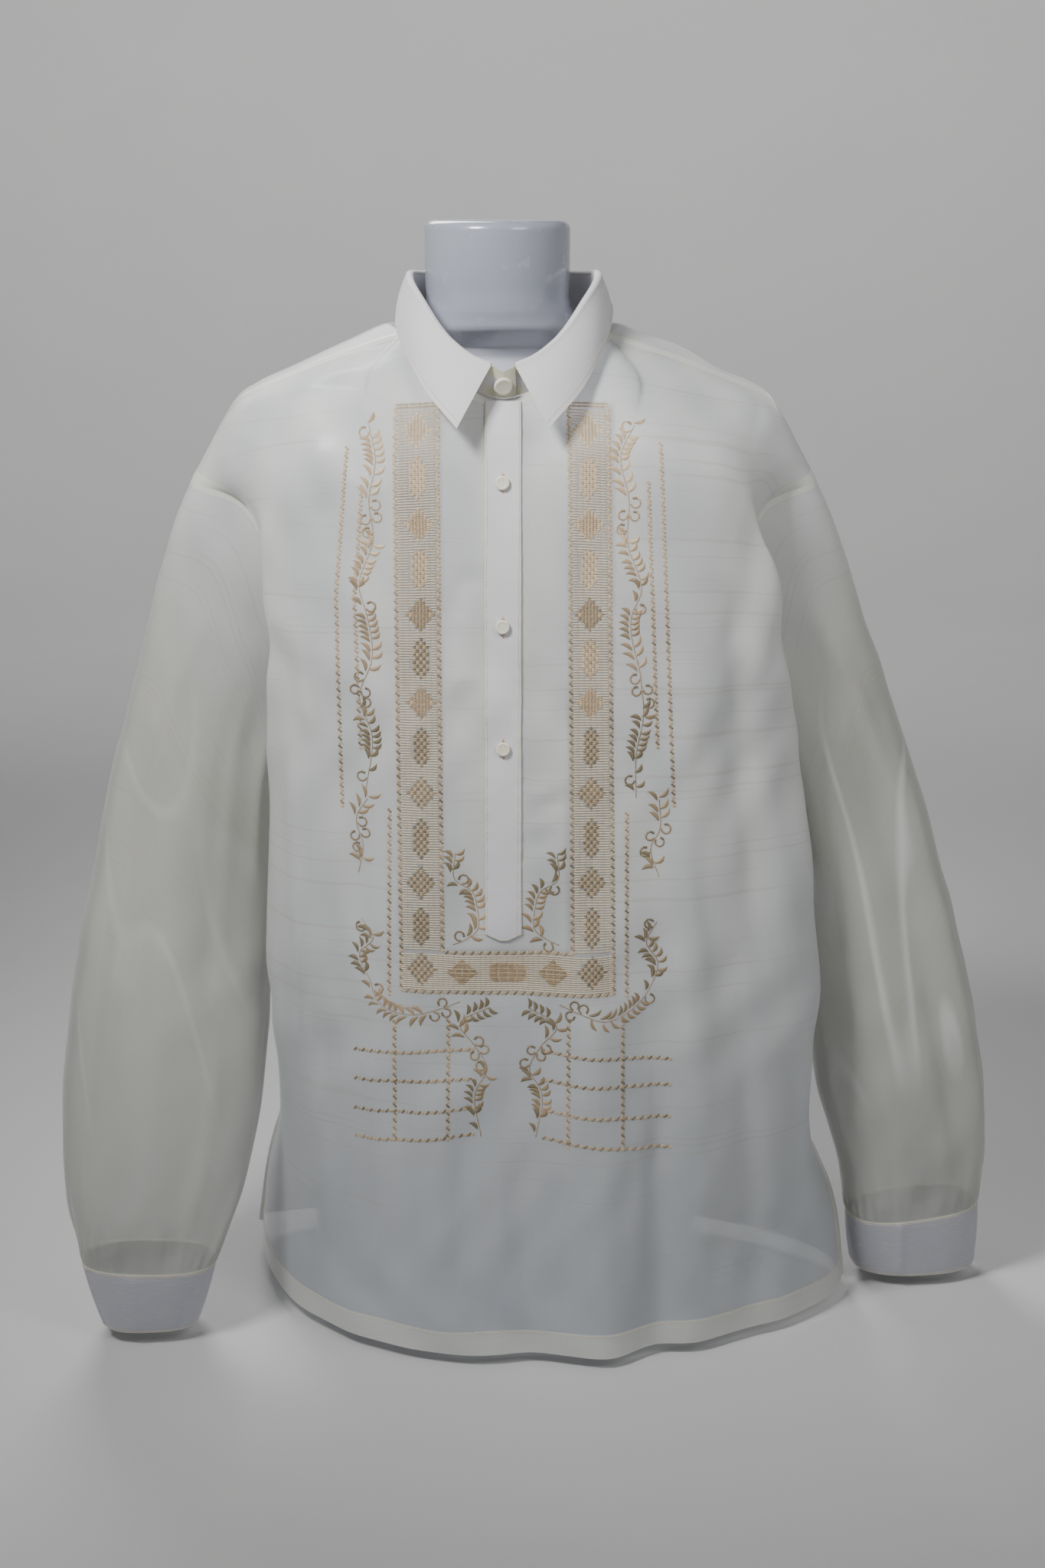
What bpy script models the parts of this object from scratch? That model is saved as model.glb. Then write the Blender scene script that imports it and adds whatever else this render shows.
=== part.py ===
"""Barong tagalog shirt worn on a limbless dress form.

Metres, +Z up. The front faces -Y and the placket lies on x = 0. The origin is the middle of
the form's flat base. Left and right are those of someone who looks at the front.
"""

import math
from collections import namedtuple

import bpy
import numpy as np

# Walls and seams
CLOTH = 0.0012
STIFF = 0.0018
SEAM = 0.0003
ARMHOLE_GIVE = 0.00018
HEM_FOLD = 0.0005
HEM_DEPTH = 0.020

# Neck and collar
NECK_HALF = 0.078
NECK_SIDE_Y = -0.022
NECK_FRONT = (-0.092, 0.762)
NECK_BACK = (0.072, 0.830)
NECK_SEAM_DROP = 0.009
NECKBLOCK_RADIUS = 0.0565
NECKBLOCK_TOP = 0.891
NECKBLOCK_X = -0.005
STAND_LAP = 7.0
STAND_COLUMNS = 49
STAND_BELOW_FOLD = 0.0033
LEAF_BELOW_FOLD = 0.0025
LEAF_CLEAR = 0.0012
LEAF_BOW = 0.0015

# Placket, buttons and cuffs
PLACKET_WIDTH = 0.0275
PLACKET_TIP_Z = 0.353
PLACKET_POINT = 0.006
BUTTON_RADIUS = 0.0055
STAND_BUTTON_RADIUS = 0.0072
BUTTON_THICK = 0.0028
BUTTON_HEIGHTS = (0.701, 0.596, 0.503)
PLACKET_GAP = 0.0004
PLACKET_THICK = 0.0013
BUTTON_GAP = 0.0005
CUFF_BUTTON_ANGLE = 215.0

# How the cloth is divided, counted in columns, rows and sections of the tables below
NECK_COLUMNS = 7
SHOULDER_COLUMNS = 10
SLEEVE_ROWS = 15
UNDERARM = 5
VENT_TOP = 1.8
FOLD_START = 0.70

Half = namedtuple("Half", "edge_x edge_y edge_z fold square lift")
Middle = namedtuple("Middle", "y z")
Ridge = namedtuple("Ridge", "x z")
Arm = namedtuple("Arm", "outer_x outer_z inner_x inner_z mid_y half_depth turn square")
Fold = namedtuple("Fold", "x_top x_low z_top z_low height width")
Pleat = namedtuple("Pleat", "angle start end height width")
Ring = namedtuple("Ring", "z half_width front back square")
Leaf = namedtuple("Leaf", "angle fold_z edge_x edge_y edge_z")

# The line of both shoulders, from the neck to the dropped end of the shoulder
SHOULDER = (
    Ridge(0.078, 0.8155),
    Ridge(0.098, 0.8085),
    Ridge(0.117, 0.8010),
    Ridge(0.144, 0.7900),
    Ridge(0.170, 0.7780),
    Ridge(0.194, 0.7665),
    Ridge(0.211, 0.7545),
    Ridge(0.2215, 0.7380),
    Ridge(0.2315, 0.7190),
    Ridge(0.241, 0.7015),
)

# One row for each section of the front, hem first: its middle, and its left and right half
FRONT_MIDDLE = (
    Middle(-0.150, 0.010),
    Middle(-0.149, 0.090),
    Middle(-0.147, 0.190),
    Middle(-0.144, 0.300),
    Middle(-0.141, 0.400),
    Middle(-0.138, 0.480),
    Middle(-0.134, 0.560),
    Middle(-0.127, 0.640),
    Middle(-0.114, 0.705),
)
FRONT_LEFT = (
    Half(0.215, 0.085, 0.026, 0.000, 2.1, 0.000),
    Half(0.205, 0.070, 0.100, 0.000, 2.2, 0.000),
    Half(0.180, 0.052, 0.190, 0.187, 2.4, 0.000),
    Half(0.166, 0.035, 0.300, 0.191, 2.6, 0.000),
    Half(0.160, 0.020, 0.400, 0.189, 2.6, 0.000),
    Half(0.160, 0.010, 0.470, 0.186, 2.6, 0.000),
    Half(0.162, -0.020, 0.530, 0.184, 2.8, 0.000),
    Half(0.174, -0.045, 0.605, 0.183, 3.0, 0.010),
    Half(0.200, -0.052, 0.678, 0.000, 3.0, 0.036),
)
FRONT_RIGHT = (
    Half(0.287, 0.000, 0.012, 0.000, 1.85, 0.000),
    Half(0.276, 0.000, 0.090, 0.000, 2.0, 0.000),
    Half(0.232, 0.000, 0.190, 0.249, 2.3, 0.000),
    Half(0.220, 0.005, 0.300, 0.253, 2.5, 0.000),
    Half(0.206, 0.010, 0.400, 0.243, 2.6, 0.000),
    Half(0.190, 0.010, 0.470, 0.233, 2.6, 0.000),
    Half(0.180, -0.020, 0.530, 0.221, 2.8, 0.000),
    Half(0.182, -0.045, 0.605, 0.209, 3.0, 0.010),
    Half(0.203, -0.052, 0.678, 0.000, 3.0, 0.036),
)
BACK_MIDDLE = (
    Middle(0.150, 0.012),
    Middle(0.149, 0.090),
    Middle(0.146, 0.190),
    Middle(0.142, 0.300),
    Middle(0.138, 0.400),
    Middle(0.136, 0.480),
    Middle(0.134, 0.560),
    Middle(0.130, 0.640),
    Middle(0.119, 0.720),
)
BACK_LEFT = (
    Half(0.218, 0.088, 0.024, 0.000, 3.0, 0.000),
    Half(0.206, 0.072, 0.100, 0.000, 3.0, 0.000),
    Half(0.180, 0.052, 0.190, 0.184, 3.0, 0.000),
    Half(0.166, 0.035, 0.300, 0.178, 3.0, 0.000),
    Half(0.160, 0.020, 0.400, 0.174, 3.0, 0.000),
    Half(0.160, 0.010, 0.470, 0.174, 3.0, 0.000),
    Half(0.162, 0.034, 0.530, 0.178, 3.0, 0.000),
    Half(0.176, 0.052, 0.605, 0.186, 3.0, 0.010),
    Half(0.204, 0.050, 0.678, 0.000, 3.0, 0.034),
)
BACK_RIGHT = (
    Half(0.287, 0.004, 0.012, 0.000, 2.0, 0.000),
    Half(0.276, 0.002, 0.090, 0.000, 2.1, 0.000),
    Half(0.232, 0.000, 0.190, 0.240, 2.4, 0.000),
    Half(0.220, 0.005, 0.300, 0.228, 2.6, 0.000),
    Half(0.206, 0.010, 0.400, 0.214, 2.8, 0.000),
    Half(0.190, 0.010, 0.470, 0.202, 2.8, 0.000),
    Half(0.180, 0.034, 0.530, 0.196, 3.0, 0.000),
    Half(0.184, 0.052, 0.605, 0.194, 3.0, 0.010),
    Half(0.206, 0.050, 0.678, 0.000, 3.0, 0.034),
)

# One row for each section of a sleeve, from the armhole to the cuff
SLEEVE_LEFT = (
    Arm(0.241, 0.7015, 0.160, 0.470, 0.000, 0.062, 0.0, 2.0),
    Arm(0.2610, 0.655, 0.178, 0.452, 0.003, 0.061, 0.0, 2.1),
    Arm(0.2800, 0.598, 0.184, 0.425, 0.010, 0.060, 0.0, 2.2),
    Arm(0.2990, 0.532, 0.188, 0.385, 0.014, 0.059, 3.0, 2.3),
    Arm(0.3200, 0.456, 0.191, 0.335, 0.012, 0.059, 6.0, 2.4),
    Arm(0.3370, 0.376, 0.193, 0.285, -0.002, 0.060, 9.0, 2.4),
    Arm(0.3500, 0.300, 0.196, 0.230, -0.028, 0.060, 12.0, 2.4),
    Arm(0.3580, 0.222, 0.201, 0.175, -0.052, 0.056, 14.0, 2.4),
    Arm(0.3590, 0.160, 0.211, 0.130, -0.072, 0.050, 12.0, 2.4),
    Arm(0.3540, 0.112, 0.224, 0.094, -0.086, 0.043, 8.0, 2.4),
    Arm(0.3430, 0.071, 0.235, 0.068, -0.094, 0.035, 2.0, 2.6),
)
SLEEVE_RIGHT = (
    Arm(0.241, 0.7015, 0.190, 0.470, 0.000, 0.062, 0.0, 2.0),
    Arm(0.2600, 0.660, 0.209, 0.452, 0.006, 0.060, 0.0, 2.1),
    Arm(0.2830, 0.600, 0.219, 0.425, 0.015, 0.057, 0.0, 2.2),
    Arm(0.3060, 0.536, 0.228, 0.385, 0.022, 0.055, -3.0, 2.3),
    Arm(0.3325, 0.462, 0.238, 0.335, 0.026, 0.055, -5.0, 2.4),
    Arm(0.3580, 0.382, 0.247, 0.285, 0.027, 0.056, -6.0, 2.4),
    Arm(0.3805, 0.305, 0.256, 0.230, 0.025, 0.057, -7.0, 2.4),
    Arm(0.3985, 0.225, 0.264, 0.175, 0.021, 0.056, -9.0, 2.4),
    Arm(0.4070, 0.160, 0.278, 0.130, 0.020, 0.050, -11.0, 2.4),
    Arm(0.4080, 0.112, 0.286, 0.094, 0.019, 0.043, -14.0, 2.4),
    Arm(0.4040, 0.072, 0.2905, 0.067, 0.017, 0.036, -16.0, 2.6),
)
CUFF_LEFT = Arm(0.3300, 0.0115, 0.2525, 0.0115, -0.075, 0.038, 6.0, 3.0)
CUFF_RIGHT = Arm(0.4050, 0.0115, 0.2990, 0.0115, 0.034, 0.038, -8.0, 2.4)

# Soft folds that run down the front and the back: ridges above zero, troughs below
FRONT_FOLDS = (
    Fold(-0.150, -0.150, 0.70, 0.25, 0.004, 0.018),
    Fold(-0.118, -0.125, 0.55, 0.02, -0.004, 0.016),
    Fold(-0.060, -0.055, 0.30, -0.05, 0.004, 0.022),
    Fold(0.015, 0.020, 0.26, -0.05, -0.004, 0.020),
    Fold(0.060, 0.084, 0.40, -0.07, 0.014, 0.028),
    Fold(0.118, 0.128, 0.30, -0.05, -0.003, 0.013),
    Fold(0.140, 0.158, 0.62, -0.05, 0.005, 0.018),
    Fold(0.175, 0.205, 0.66, 0.02, -0.005, 0.016),
    Fold(0.060, 0.050, 0.72, 0.50, -0.003, 0.016),
    Fold(-0.052, -0.048, 0.70, 0.52, -0.003, 0.016),
)
BACK_FOLDS = (
    Fold(-0.120, -0.140, 0.66, 0.02, 0.006, 0.020),
    Fold(-0.060, -0.075, 0.50, -0.05, -0.005, 0.022),
    Fold(0.000, -0.005, 0.36, -0.05, 0.006, 0.026),
    Fold(0.055, 0.080, 0.44, -0.05, -0.005, 0.020),
    Fold(0.110, 0.140, 0.68, -0.05, 0.006, 0.022),
    Fold(0.160, 0.205, 0.60, 0.02, -0.004, 0.018),
)

# Creases along a sleeve: angle from the underarm, over the front, in degrees
PLEATS_LEFT = (
    Pleat(62.0, 0.05, 0.55, -0.004, 14.0),
    Pleat(96.0, 0.20, 0.98, 0.005, 16.0),
    Pleat(128.0, 0.35, 0.90, -0.004, 13.0),
    Pleat(150.0, 0.10, 0.80, 0.003, 14.0),
    Pleat(235.0, 0.15, 0.85, -0.004, 16.0),
    Pleat(285.0, 0.30, 0.98, 0.005, 16.0),
    Pleat(30.0, 0.72, 1.10, 0.003, 9.0),
    Pleat(75.0, 0.80, 1.10, -0.003, 8.0),
    Pleat(112.0, 0.80, 1.10, 0.003, 8.0),
    Pleat(165.0, 0.78, 1.10, -0.003, 9.0),
    Pleat(255.0, 0.80, 1.10, 0.003, 9.0),
    Pleat(325.0, 0.80, 1.10, -0.003, 9.0),
)
PLEATS_RIGHT = (
    Pleat(70.0, 0.10, 0.70, 0.004, 15.0),
    Pleat(105.0, 0.25, 0.85, -0.005, 14.0),
    Pleat(132.0, 0.30, 0.98, 0.005, 14.0),
    Pleat(158.0, 0.45, 0.90, -0.003, 12.0),
    Pleat(230.0, 0.20, 0.90, 0.004, 16.0),
    Pleat(280.0, 0.15, 0.85, -0.004, 16.0),
    Pleat(50.0, 0.80, 1.10, 0.003, 9.0),
    Pleat(88.0, 0.80, 1.10, -0.003, 8.0),
    Pleat(120.0, 0.82, 1.10, 0.002, 8.0),
    Pleat(175.0, 0.80, 1.10, -0.003, 9.0),
    Pleat(260.0, 0.80, 1.10, 0.003, 9.0),
    Pleat(330.0, 0.80, 1.10, -0.003, 9.0),
)

# Half of the collar, front first: the fold above the stand and the leaf's outer edge
LEAF = (
    Leaf(7.0, 0.7900, 0.0340, -0.1290, 0.7436),
    Leaf(18.0, 0.7955, 0.0430, -0.1205, 0.7530),
    Leaf(31.0, 0.8060, 0.0550, -0.1060, 0.7650),
    Leaf(60.0, 0.8375, 0.0770, -0.0600, 0.7995),
    Leaf(90.0, 0.8525, 0.0845, -0.0080, 0.8180),
    Leaf(120.0, 0.8520, 0.0810, 0.0420, 0.8240),
    Leaf(150.0, 0.8510, 0.0480, 0.0780, 0.8260),
    Leaf(180.0, 0.8505, 0.0000, 0.0900, 0.8270),
)

# Rings of the dress form up to the neck block
FORM = (
    Ring(0.000, 0.158, 0.105, 0.112, 2.2),
    Ring(0.060, 0.160, 0.107, 0.115, 2.2),
    Ring(0.150, 0.158, 0.105, 0.112, 2.2),
    Ring(0.280, 0.141, 0.100, 0.096, 2.2),
    Ring(0.400, 0.143, 0.106, 0.098, 2.3),
    Ring(0.500, 0.150, 0.112, 0.106, 2.4),
    Ring(0.580, 0.162, 0.110, 0.110, 2.4),
    Ring(0.640, 0.176, 0.100, 0.108, 2.4),
    Ring(0.690, 0.189, 0.084, 0.098, 2.4),
    Ring(0.725, 0.199, 0.064, 0.082, 2.3),
    Ring(0.750, 0.202, 0.046, 0.066, 2.2),
)
FORM_SHOULDER = (0.765, 0.778)
FORM_NECK = (
    Ring(0.7885, 0.136, 0.034, 0.048, 2.0),
    Ring(0.7960, 0.098, 0.036, 0.046, 2.0),
    Ring(0.8020, 0.073, 0.044, 0.048, 2.0),
    Ring(0.8110, 0.065, 0.055, 0.054, 2.0),
    Ring(0.8260, 0.0585, 0.0580, 0.0580, 2.0),
)
FORM_SIDES = 28
FORM_CLEAR = 0.0016
FORM_DROP = 0.0012

IVORY = (0.86, 0.86, 0.82)
TRIM = (0.88, 0.86, 0.88)
GLOSS_WHITE = (0.80, 0.81, 0.85)


def smooth(value):
    """A soft step from 0 to 1."""
    value = np.clip(value, 0.0, 1.0)
    return value * value * (3.0 - 2.0 * value)


def column(rows, name):
    return np.array([getattr(row, name) for row in rows], dtype=float)


def curve_through(knots, values, at):
    """A smooth curve through the values at the knots, read at other places."""
    knots = np.asarray(knots, dtype=float)
    values = np.asarray(values, dtype=float)
    slopes = np.empty_like(values)
    steps = (values[1:].T - values[:-1].T) / (knots[1:] - knots[:-1])
    steps = steps.T
    slopes[0] = steps[0]
    slopes[-1] = steps[-1]
    before = (knots[1:-1] - knots[:-2]).reshape((-1,) + (1,) * (values.ndim - 1))
    after = (knots[2:] - knots[1:-1]).reshape(before.shape)
    slopes[1:-1] = (steps[:-1] * after + steps[1:] * before) / (before + after)
    at = np.asarray(at, dtype=float)
    low = np.clip(np.searchsorted(knots, at, side="right") - 1, 0, len(knots) - 2)
    width = knots[low + 1] - knots[low]
    part = (at - knots[low]) / width
    shape = at.shape + (1,) * (values.ndim - 1)
    part = part.reshape(shape)
    width = width.reshape(shape)
    start = values[low] * (2 * part**3 - 3 * part**2 + 1)
    end = values[low + 1] * (3 * part**2 - 2 * part**3)
    leave = slopes[low] * width * (part**3 - 2 * part**2 + part)
    arrive = slopes[low + 1] * width * (part**3 - part**2)
    return start + end + leave + arrive


def evenly(points, count):
    """The polyline's points again, at equal distances along it."""
    lengths = np.linalg.norm(np.diff(points, axis=0), axis=1)
    along = np.concatenate([[0.0], np.cumsum(lengths)])
    marks = np.linspace(0.0, along[-1], count + 1)
    return np.stack([np.interp(marks, along, points[:, axis]) for axis in range(3)], axis=1)


def unit(vectors):
    return vectors / np.maximum(np.linalg.norm(vectors, axis=-1, keepdims=True), 1e-12)


def half_row(side, middle, half):
    """Half a section, from the middle of the panel to its side edge."""
    turn = np.linspace(0.0, math.pi / 2, 161)
    part = turn / (math.pi / 2)
    widest = max(half.fold, half.edge_x)
    spread = widest
    for _ in range(12):
        across = spread * np.sin(turn) ** (2.0 / half.square)
        across -= (spread - half.edge_x) * smooth((part - FOLD_START) / (1.0 - FOLD_START))
        spread *= widest / across.max()
    depth = half.edge_y + (middle.y - half.edge_y) * np.abs(np.cos(turn)) ** (2.0 / half.square)
    share = across / across.max()
    height = middle.z + (half.edge_z - middle.z) * part**3
    height += half.lift * np.sin(math.pi * np.clip(share, 0.0, 1.0) ** 1.3)
    row = np.stack([side * across, depth, height], axis=1)
    return evenly(row, NECK_COLUMNS + SHOULDER_COLUMNS)


def shoulder_z(x):
    return curve_through(column(SHOULDER, "x"), column(SHOULDER, "z"), x)


def shoulder_row(side, neck_half, neck_mid, y_in, y_out, drop_in, drop_out, rise):
    """Half a row that goes round the neck and then along the shoulder."""
    turn = np.linspace(0.0, math.pi / 2, 81)
    side_z = shoulder_z(np.array([neck_half]))[0] - drop_in
    across = neck_half * np.sin(turn)
    depth = y_in + (neck_mid[0] - y_in) * np.cos(turn)
    height = neck_mid[1] + (side_z - neck_mid[1]) * np.sin(turn) ** rise
    neck = evenly(np.stack([across, depth, height], axis=1), NECK_COLUMNS)
    across = np.linspace(neck_half, SHOULDER[-1].x, 81)
    part = (across - neck_half) / (SHOULDER[-1].x - neck_half)
    height = shoulder_z(across) - drop_in - (drop_out - drop_in) * part
    depth = y_in + (y_out - y_in) * part
    ridge = evenly(np.stack([across, depth, height], axis=1), SHOULDER_COLUMNS)
    row = np.concatenate([neck, ridge[1:]])
    row[:, 0] *= side
    return row


def whole_row(left, right):
    return np.concatenate([left[:0:-1], right])


SEAM_ROW = dict(neck_half=NECK_HALF, y_in=NECK_SIDE_Y, y_out=-0.006, drop_in=NECK_SEAM_DROP, drop_out=0.0)


def front_sections():
    rows = []
    for middle, left, right in zip(FRONT_MIDDLE, FRONT_LEFT, FRONT_RIGHT):
        rows.append(whole_row(half_row(-1, middle, left), half_row(1, middle, right)))
    below = dict(neck_half=0.102, neck_mid=(-0.104, 0.741), y_in=-0.058, y_out=-0.036,
                 drop_in=0.028, drop_out=0.008, rise=2.0)
    rows.append(whole_row(shoulder_row(-1, **below), shoulder_row(1, **below)))
    top = dict(SEAM_ROW, neck_mid=NECK_FRONT, rise=1.6)
    rows.append(whole_row(shoulder_row(-1, **top), shoulder_row(1, **top)))
    return np.array(rows)


def back_sections():
    rows = []
    for middle, left, right in zip(BACK_MIDDLE, BACK_LEFT, BACK_RIGHT):
        rows.append(whole_row(half_row(-1, middle, left), half_row(1, middle, right)))
    below = dict(neck_half=0.090, neck_mid=(0.085, 0.812), y_in=0.003, y_out=0.012,
                 drop_in=0.0, drop_out=0.0012, rise=2.0)
    rows.append(whole_row(shoulder_row(-1, **below), shoulder_row(1, **below)))
    top = dict(SEAM_ROW, neck_mid=NECK_BACK, rise=2.0)
    rows.append(whole_row(shoulder_row(-1, **top), shoulder_row(1, **top)))
    return np.array(rows)


# Grid rows between one section and the next, hem first
FRONT_STEPS = (3, 2, 2, 2, 2, 3, 3, 3, 3, 3)
ROW_AT = np.concatenate([[0.0]] + [k + np.arange(1, n + 1) / n for k, n in enumerate(FRONT_STEPS)])
UNDERARM_ROW = int(np.argmin(np.abs(ROW_AT - UNDERARM)))


def panel_grid(sections, folds, facing):
    """The panel's outer surface: sections joined by smooth columns, with its folds."""
    knots = np.concatenate([[0.0], np.cumsum(np.linalg.norm(np.diff(sections, axis=0), axis=2).mean(axis=1))])
    marks = np.interp(ROW_AT, np.arange(len(knots)), knots)
    grid = curve_through(knots, sections, marks)
    normals = grid_normals(grid, facing)
    inside = np.minimum(np.arange(grid.shape[1]), np.arange(grid.shape[1])[::-1])
    calm = smooth(inside / 4.0)[None, :] * smooth((len(ROW_AT) - 1 - np.arange(len(ROW_AT))) / 5.0)[:, None]
    height = grid[..., 2]
    lift = np.zeros_like(height)
    for fold in folds:
        down = np.clip((fold.z_top - height) / (fold.z_top - fold.z_low), 0.0, 1.0)
        middle = fold.x_top + (fold.x_low - fold.x_top) * down
        shape = np.exp(-(((grid[..., 0] - middle) / fold.width) ** 2))
        length = smooth((fold.z_top - height) / 0.12) * smooth((height - fold.z_low) / 0.08)
        lift += fold.height * shape * length
    return grid + normals * (lift * calm)[..., None]


def grid_normals(grid, facing, closed=False):
    """Normals of a grid of points, turned to the side that faces outwards."""
    down = np.gradient(grid, axis=0)
    if closed:
        across = (np.roll(grid, -1, axis=1) - np.roll(grid, 1, axis=1)) / 2.0
    else:
        across = np.gradient(grid, axis=1)
    return unit(np.cross(across, down)) * facing


def shared(first, second):
    """One normal for two edges that meet at a seam."""
    return unit(first + second)


def part_edges(first, first_before, second, second_before, gap):
    """Moves two edges that lie on each other apart, along the line across their seam."""
    across = unit(second_before - first_before)
    return first - across * gap / 2, second + across * gap / 2


def cloth_wall(name, outer, inner, material, closed=False):
    """A closed solid between two grids of points."""
    rows, columns = outer.shape[:2]
    points = np.concatenate([outer.reshape(-1, 3), inner.reshape(-1, 3)])
    skin = rows * columns
    faces = []
    spans = columns if closed else columns - 1
    for i in range(rows - 1):
        for j in range(spans):
            k = (j + 1) % columns
            a, b = i * columns + j, i * columns + k
            c, d = b + columns, a + columns
            faces.append((a, b, c, d))
            faces.append((skin + a, skin + d, skin + c, skin + b))
    for i in (0, rows - 1):
        for j in range(spans):
            k = (j + 1) % columns
            a, b = i * columns + j, i * columns + k
            quad = (a, skin + a, skin + b, b)
            faces.append(quad if i == 0 else quad[::-1])
    if not closed:
        for i in range(rows - 1):
            for j in (0, columns - 1):
                a, b = i * columns + j, (i + 1) * columns + j
                quad = (a, b, skin + b, skin + a)
                faces.append(quad if j == 0 else quad[::-1])
    return solid(name, points, faces, material)


def solid(name, points, faces, material):
    mesh = bpy.data.meshes.new(name)
    mesh.from_pydata([tuple(point) for point in points], [], [tuple(int(k) for k in face) for face in faces])
    volume = 0.0
    mesh.calc_loop_triangles()
    for triangle in mesh.loop_triangles:
        a, b, c = (mesh.vertices[k].co for k in triangle.vertices)
        volume += a.dot(b.cross(c))
    if volume < 0.0:
        mesh.flip_normals()
    mesh.materials.append(material)
    mesh.shade_smooth()
    mesh.set_sharp_from_angle(angle=math.radians(45))
    obj = bpy.data.objects.new(name, mesh)
    bpy.context.scene.collection.objects.link(obj)
    return obj


def make_material(name, colour, roughness):
    material = bpy.data.materials.new(name)
    material.use_nodes = True
    shader = material.node_tree.nodes["Principled BSDF"]
    shader.inputs["Base Color"].default_value = (*colour, 1.0)
    shader.inputs["Roughness"].default_value = roughness
    shader.inputs["Metallic"].default_value = 0.0
    return material


def sleeve_sections(rows, side, ring):
    """The sleeve's rings: the armhole first, then ovals that turn forward towards the cuff."""
    count = ring.shape[0]
    stations = np.linspace(0.0, len(rows) - 1, SLEEVE_ROWS + 1)
    values = np.stack([column(rows, name) for name in Arm._fields], axis=1)
    values = curve_through(np.arange(len(rows)), values, stations)
    half = count // 2
    first = np.concatenate([[0.0], np.cumsum(np.linalg.norm(np.diff(ring[: half + 1], axis=0), axis=1))])
    back = np.concatenate([ring[half:], ring[:1]])
    second = np.concatenate([[0.0], np.cumsum(np.linalg.norm(np.diff(back, axis=0), axis=1))])
    angle = np.concatenate([math.pi * first / first[-1], (math.pi + math.pi * second / second[-1])[1:-1]])
    grid = []
    for value in values:
        arm = Arm(*value)
        grid.append(oval(arm, side, angle))
    grid = np.array(grid)
    part = np.linspace(0.0, 1.0, SLEEVE_ROWS + 1)
    keep = 1.0 - smooth(part / 0.30)
    grid += (ring - grid[0])[None] * keep[:, None, None]
    return grid, angle, part


def oval(arm, side, angle):
    """One section of a sleeve, from its inner side over the front to its outer side."""
    middle = np.array([(arm.outer_x + arm.inner_x) / 2, arm.mid_y, (arm.outer_z + arm.inner_z) / 2])
    reach = np.array([(arm.outer_x - arm.inner_x) / 2, 0.0, (arm.outer_z - arm.inner_z) / 2])
    turn = math.radians(arm.turn)
    long = np.array([reach[0] * math.cos(turn), -reach[0] * math.sin(turn), reach[2]])
    short = np.array([-math.sin(turn), -math.cos(turn), 0.0]) * arm.half_depth
    power = 2.0 / arm.square
    along = -np.sign(np.cos(angle)) * np.abs(np.cos(angle)) ** power
    depth = np.sign(np.sin(angle)) * np.abs(np.sin(angle)) ** power
    points = middle + along[:, None] * long + depth[:, None] * short
    points[:, 0] *= side
    return points


def add_pleats(grid, normals, angle, part, pleats):
    """Raises and sinks the creases along a sleeve."""
    degrees = np.degrees(angle)
    lift = np.zeros(grid.shape[:2])
    for pleat in pleats:
        away = (degrees - pleat.angle + 180.0) % 360.0 - 180.0
        shape = np.exp(-((away / pleat.width) ** 2))
        length = smooth((part - pleat.start) / 0.15) * smooth((pleat.end - part) / 0.12)
        lift += pleat.height * length[:, None] * shape[None, :]
    calm = smooth(part / 0.15) * smooth((1.0 - part) / 0.06)
    return grid + normals * (lift * calm[:, None])[..., None]


def disc(name, middle, facing, radius, material):
    """A covered button: a low round cushion on a flat back."""
    sides = 16
    facing = np.array(facing) / np.linalg.norm(facing)
    flat = unit(np.cross(facing, np.array([0.0, 0.0, 1.0])))
    up = np.cross(flat, facing)
    steps = ((0.0, 0.86), (0.25, 1.0), (0.70, 0.97), (0.95, 0.72))
    points = []
    for rise, wide in steps:
        for k in range(sides):
            turn = 2 * math.pi * k / sides
            spoke = math.cos(turn) * flat + math.sin(turn) * up
            points.append(middle + facing * rise * BUTTON_THICK + spoke * radius * wide)
    faces = [tuple(range(sides))[::-1], tuple(range((len(steps) - 1) * sides, len(steps) * sides))]
    for i in range(len(steps) - 1):
        for k in range(sides):
            a, b = i * sides + k, i * sides + (k + 1) % sides
            faces.append((a, b, b + sides, a + sides))
    return solid(name, points, faces, material)


for old in list(bpy.data.objects):
    bpy.data.objects.remove(old, do_unlink=True)

cloth = make_material("sheer_cloth", IVORY, 0.55)
trim = make_material("stiff_cloth", TRIM, 0.70)
covered = make_material("covered_button", IVORY, 0.60)
plastic = make_material("white_plastic", GLOSS_WHITE, 0.30)

# Front and back
front = panel_grid(front_sections(), FRONT_FOLDS, 1.0)
back = panel_grid(back_sections(), BACK_FOLDS, -1.0)
last = front.shape[1] - 1
neck_first = SHOULDER_COLUMNS
neck_last = last - SHOULDER_COLUMNS

# The side seams are one line for both panels
below = slice(0, UNDERARM_ROW + 1)
for j in (0, last):
    seam = (front[below, j] + back[below, j]) / 2
    front[below, j] = seam
    back[below, j] = seam

# Below the vents' tops the side edges part, more towards the hem
open_by = 0.006 * smooth((VENT_TOP - ROW_AT) / VENT_TOP)
for j, side in ((0, -1.0), (last, 1.0)):
    front[:, j, 1] -= open_by * 0.5
    front[:, j, 0] += side * open_by * 0.4
    back[:, j, 1] += open_by

front_normals = grid_normals(front, 1.0)
back_normals = grid_normals(back, -1.0)

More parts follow.
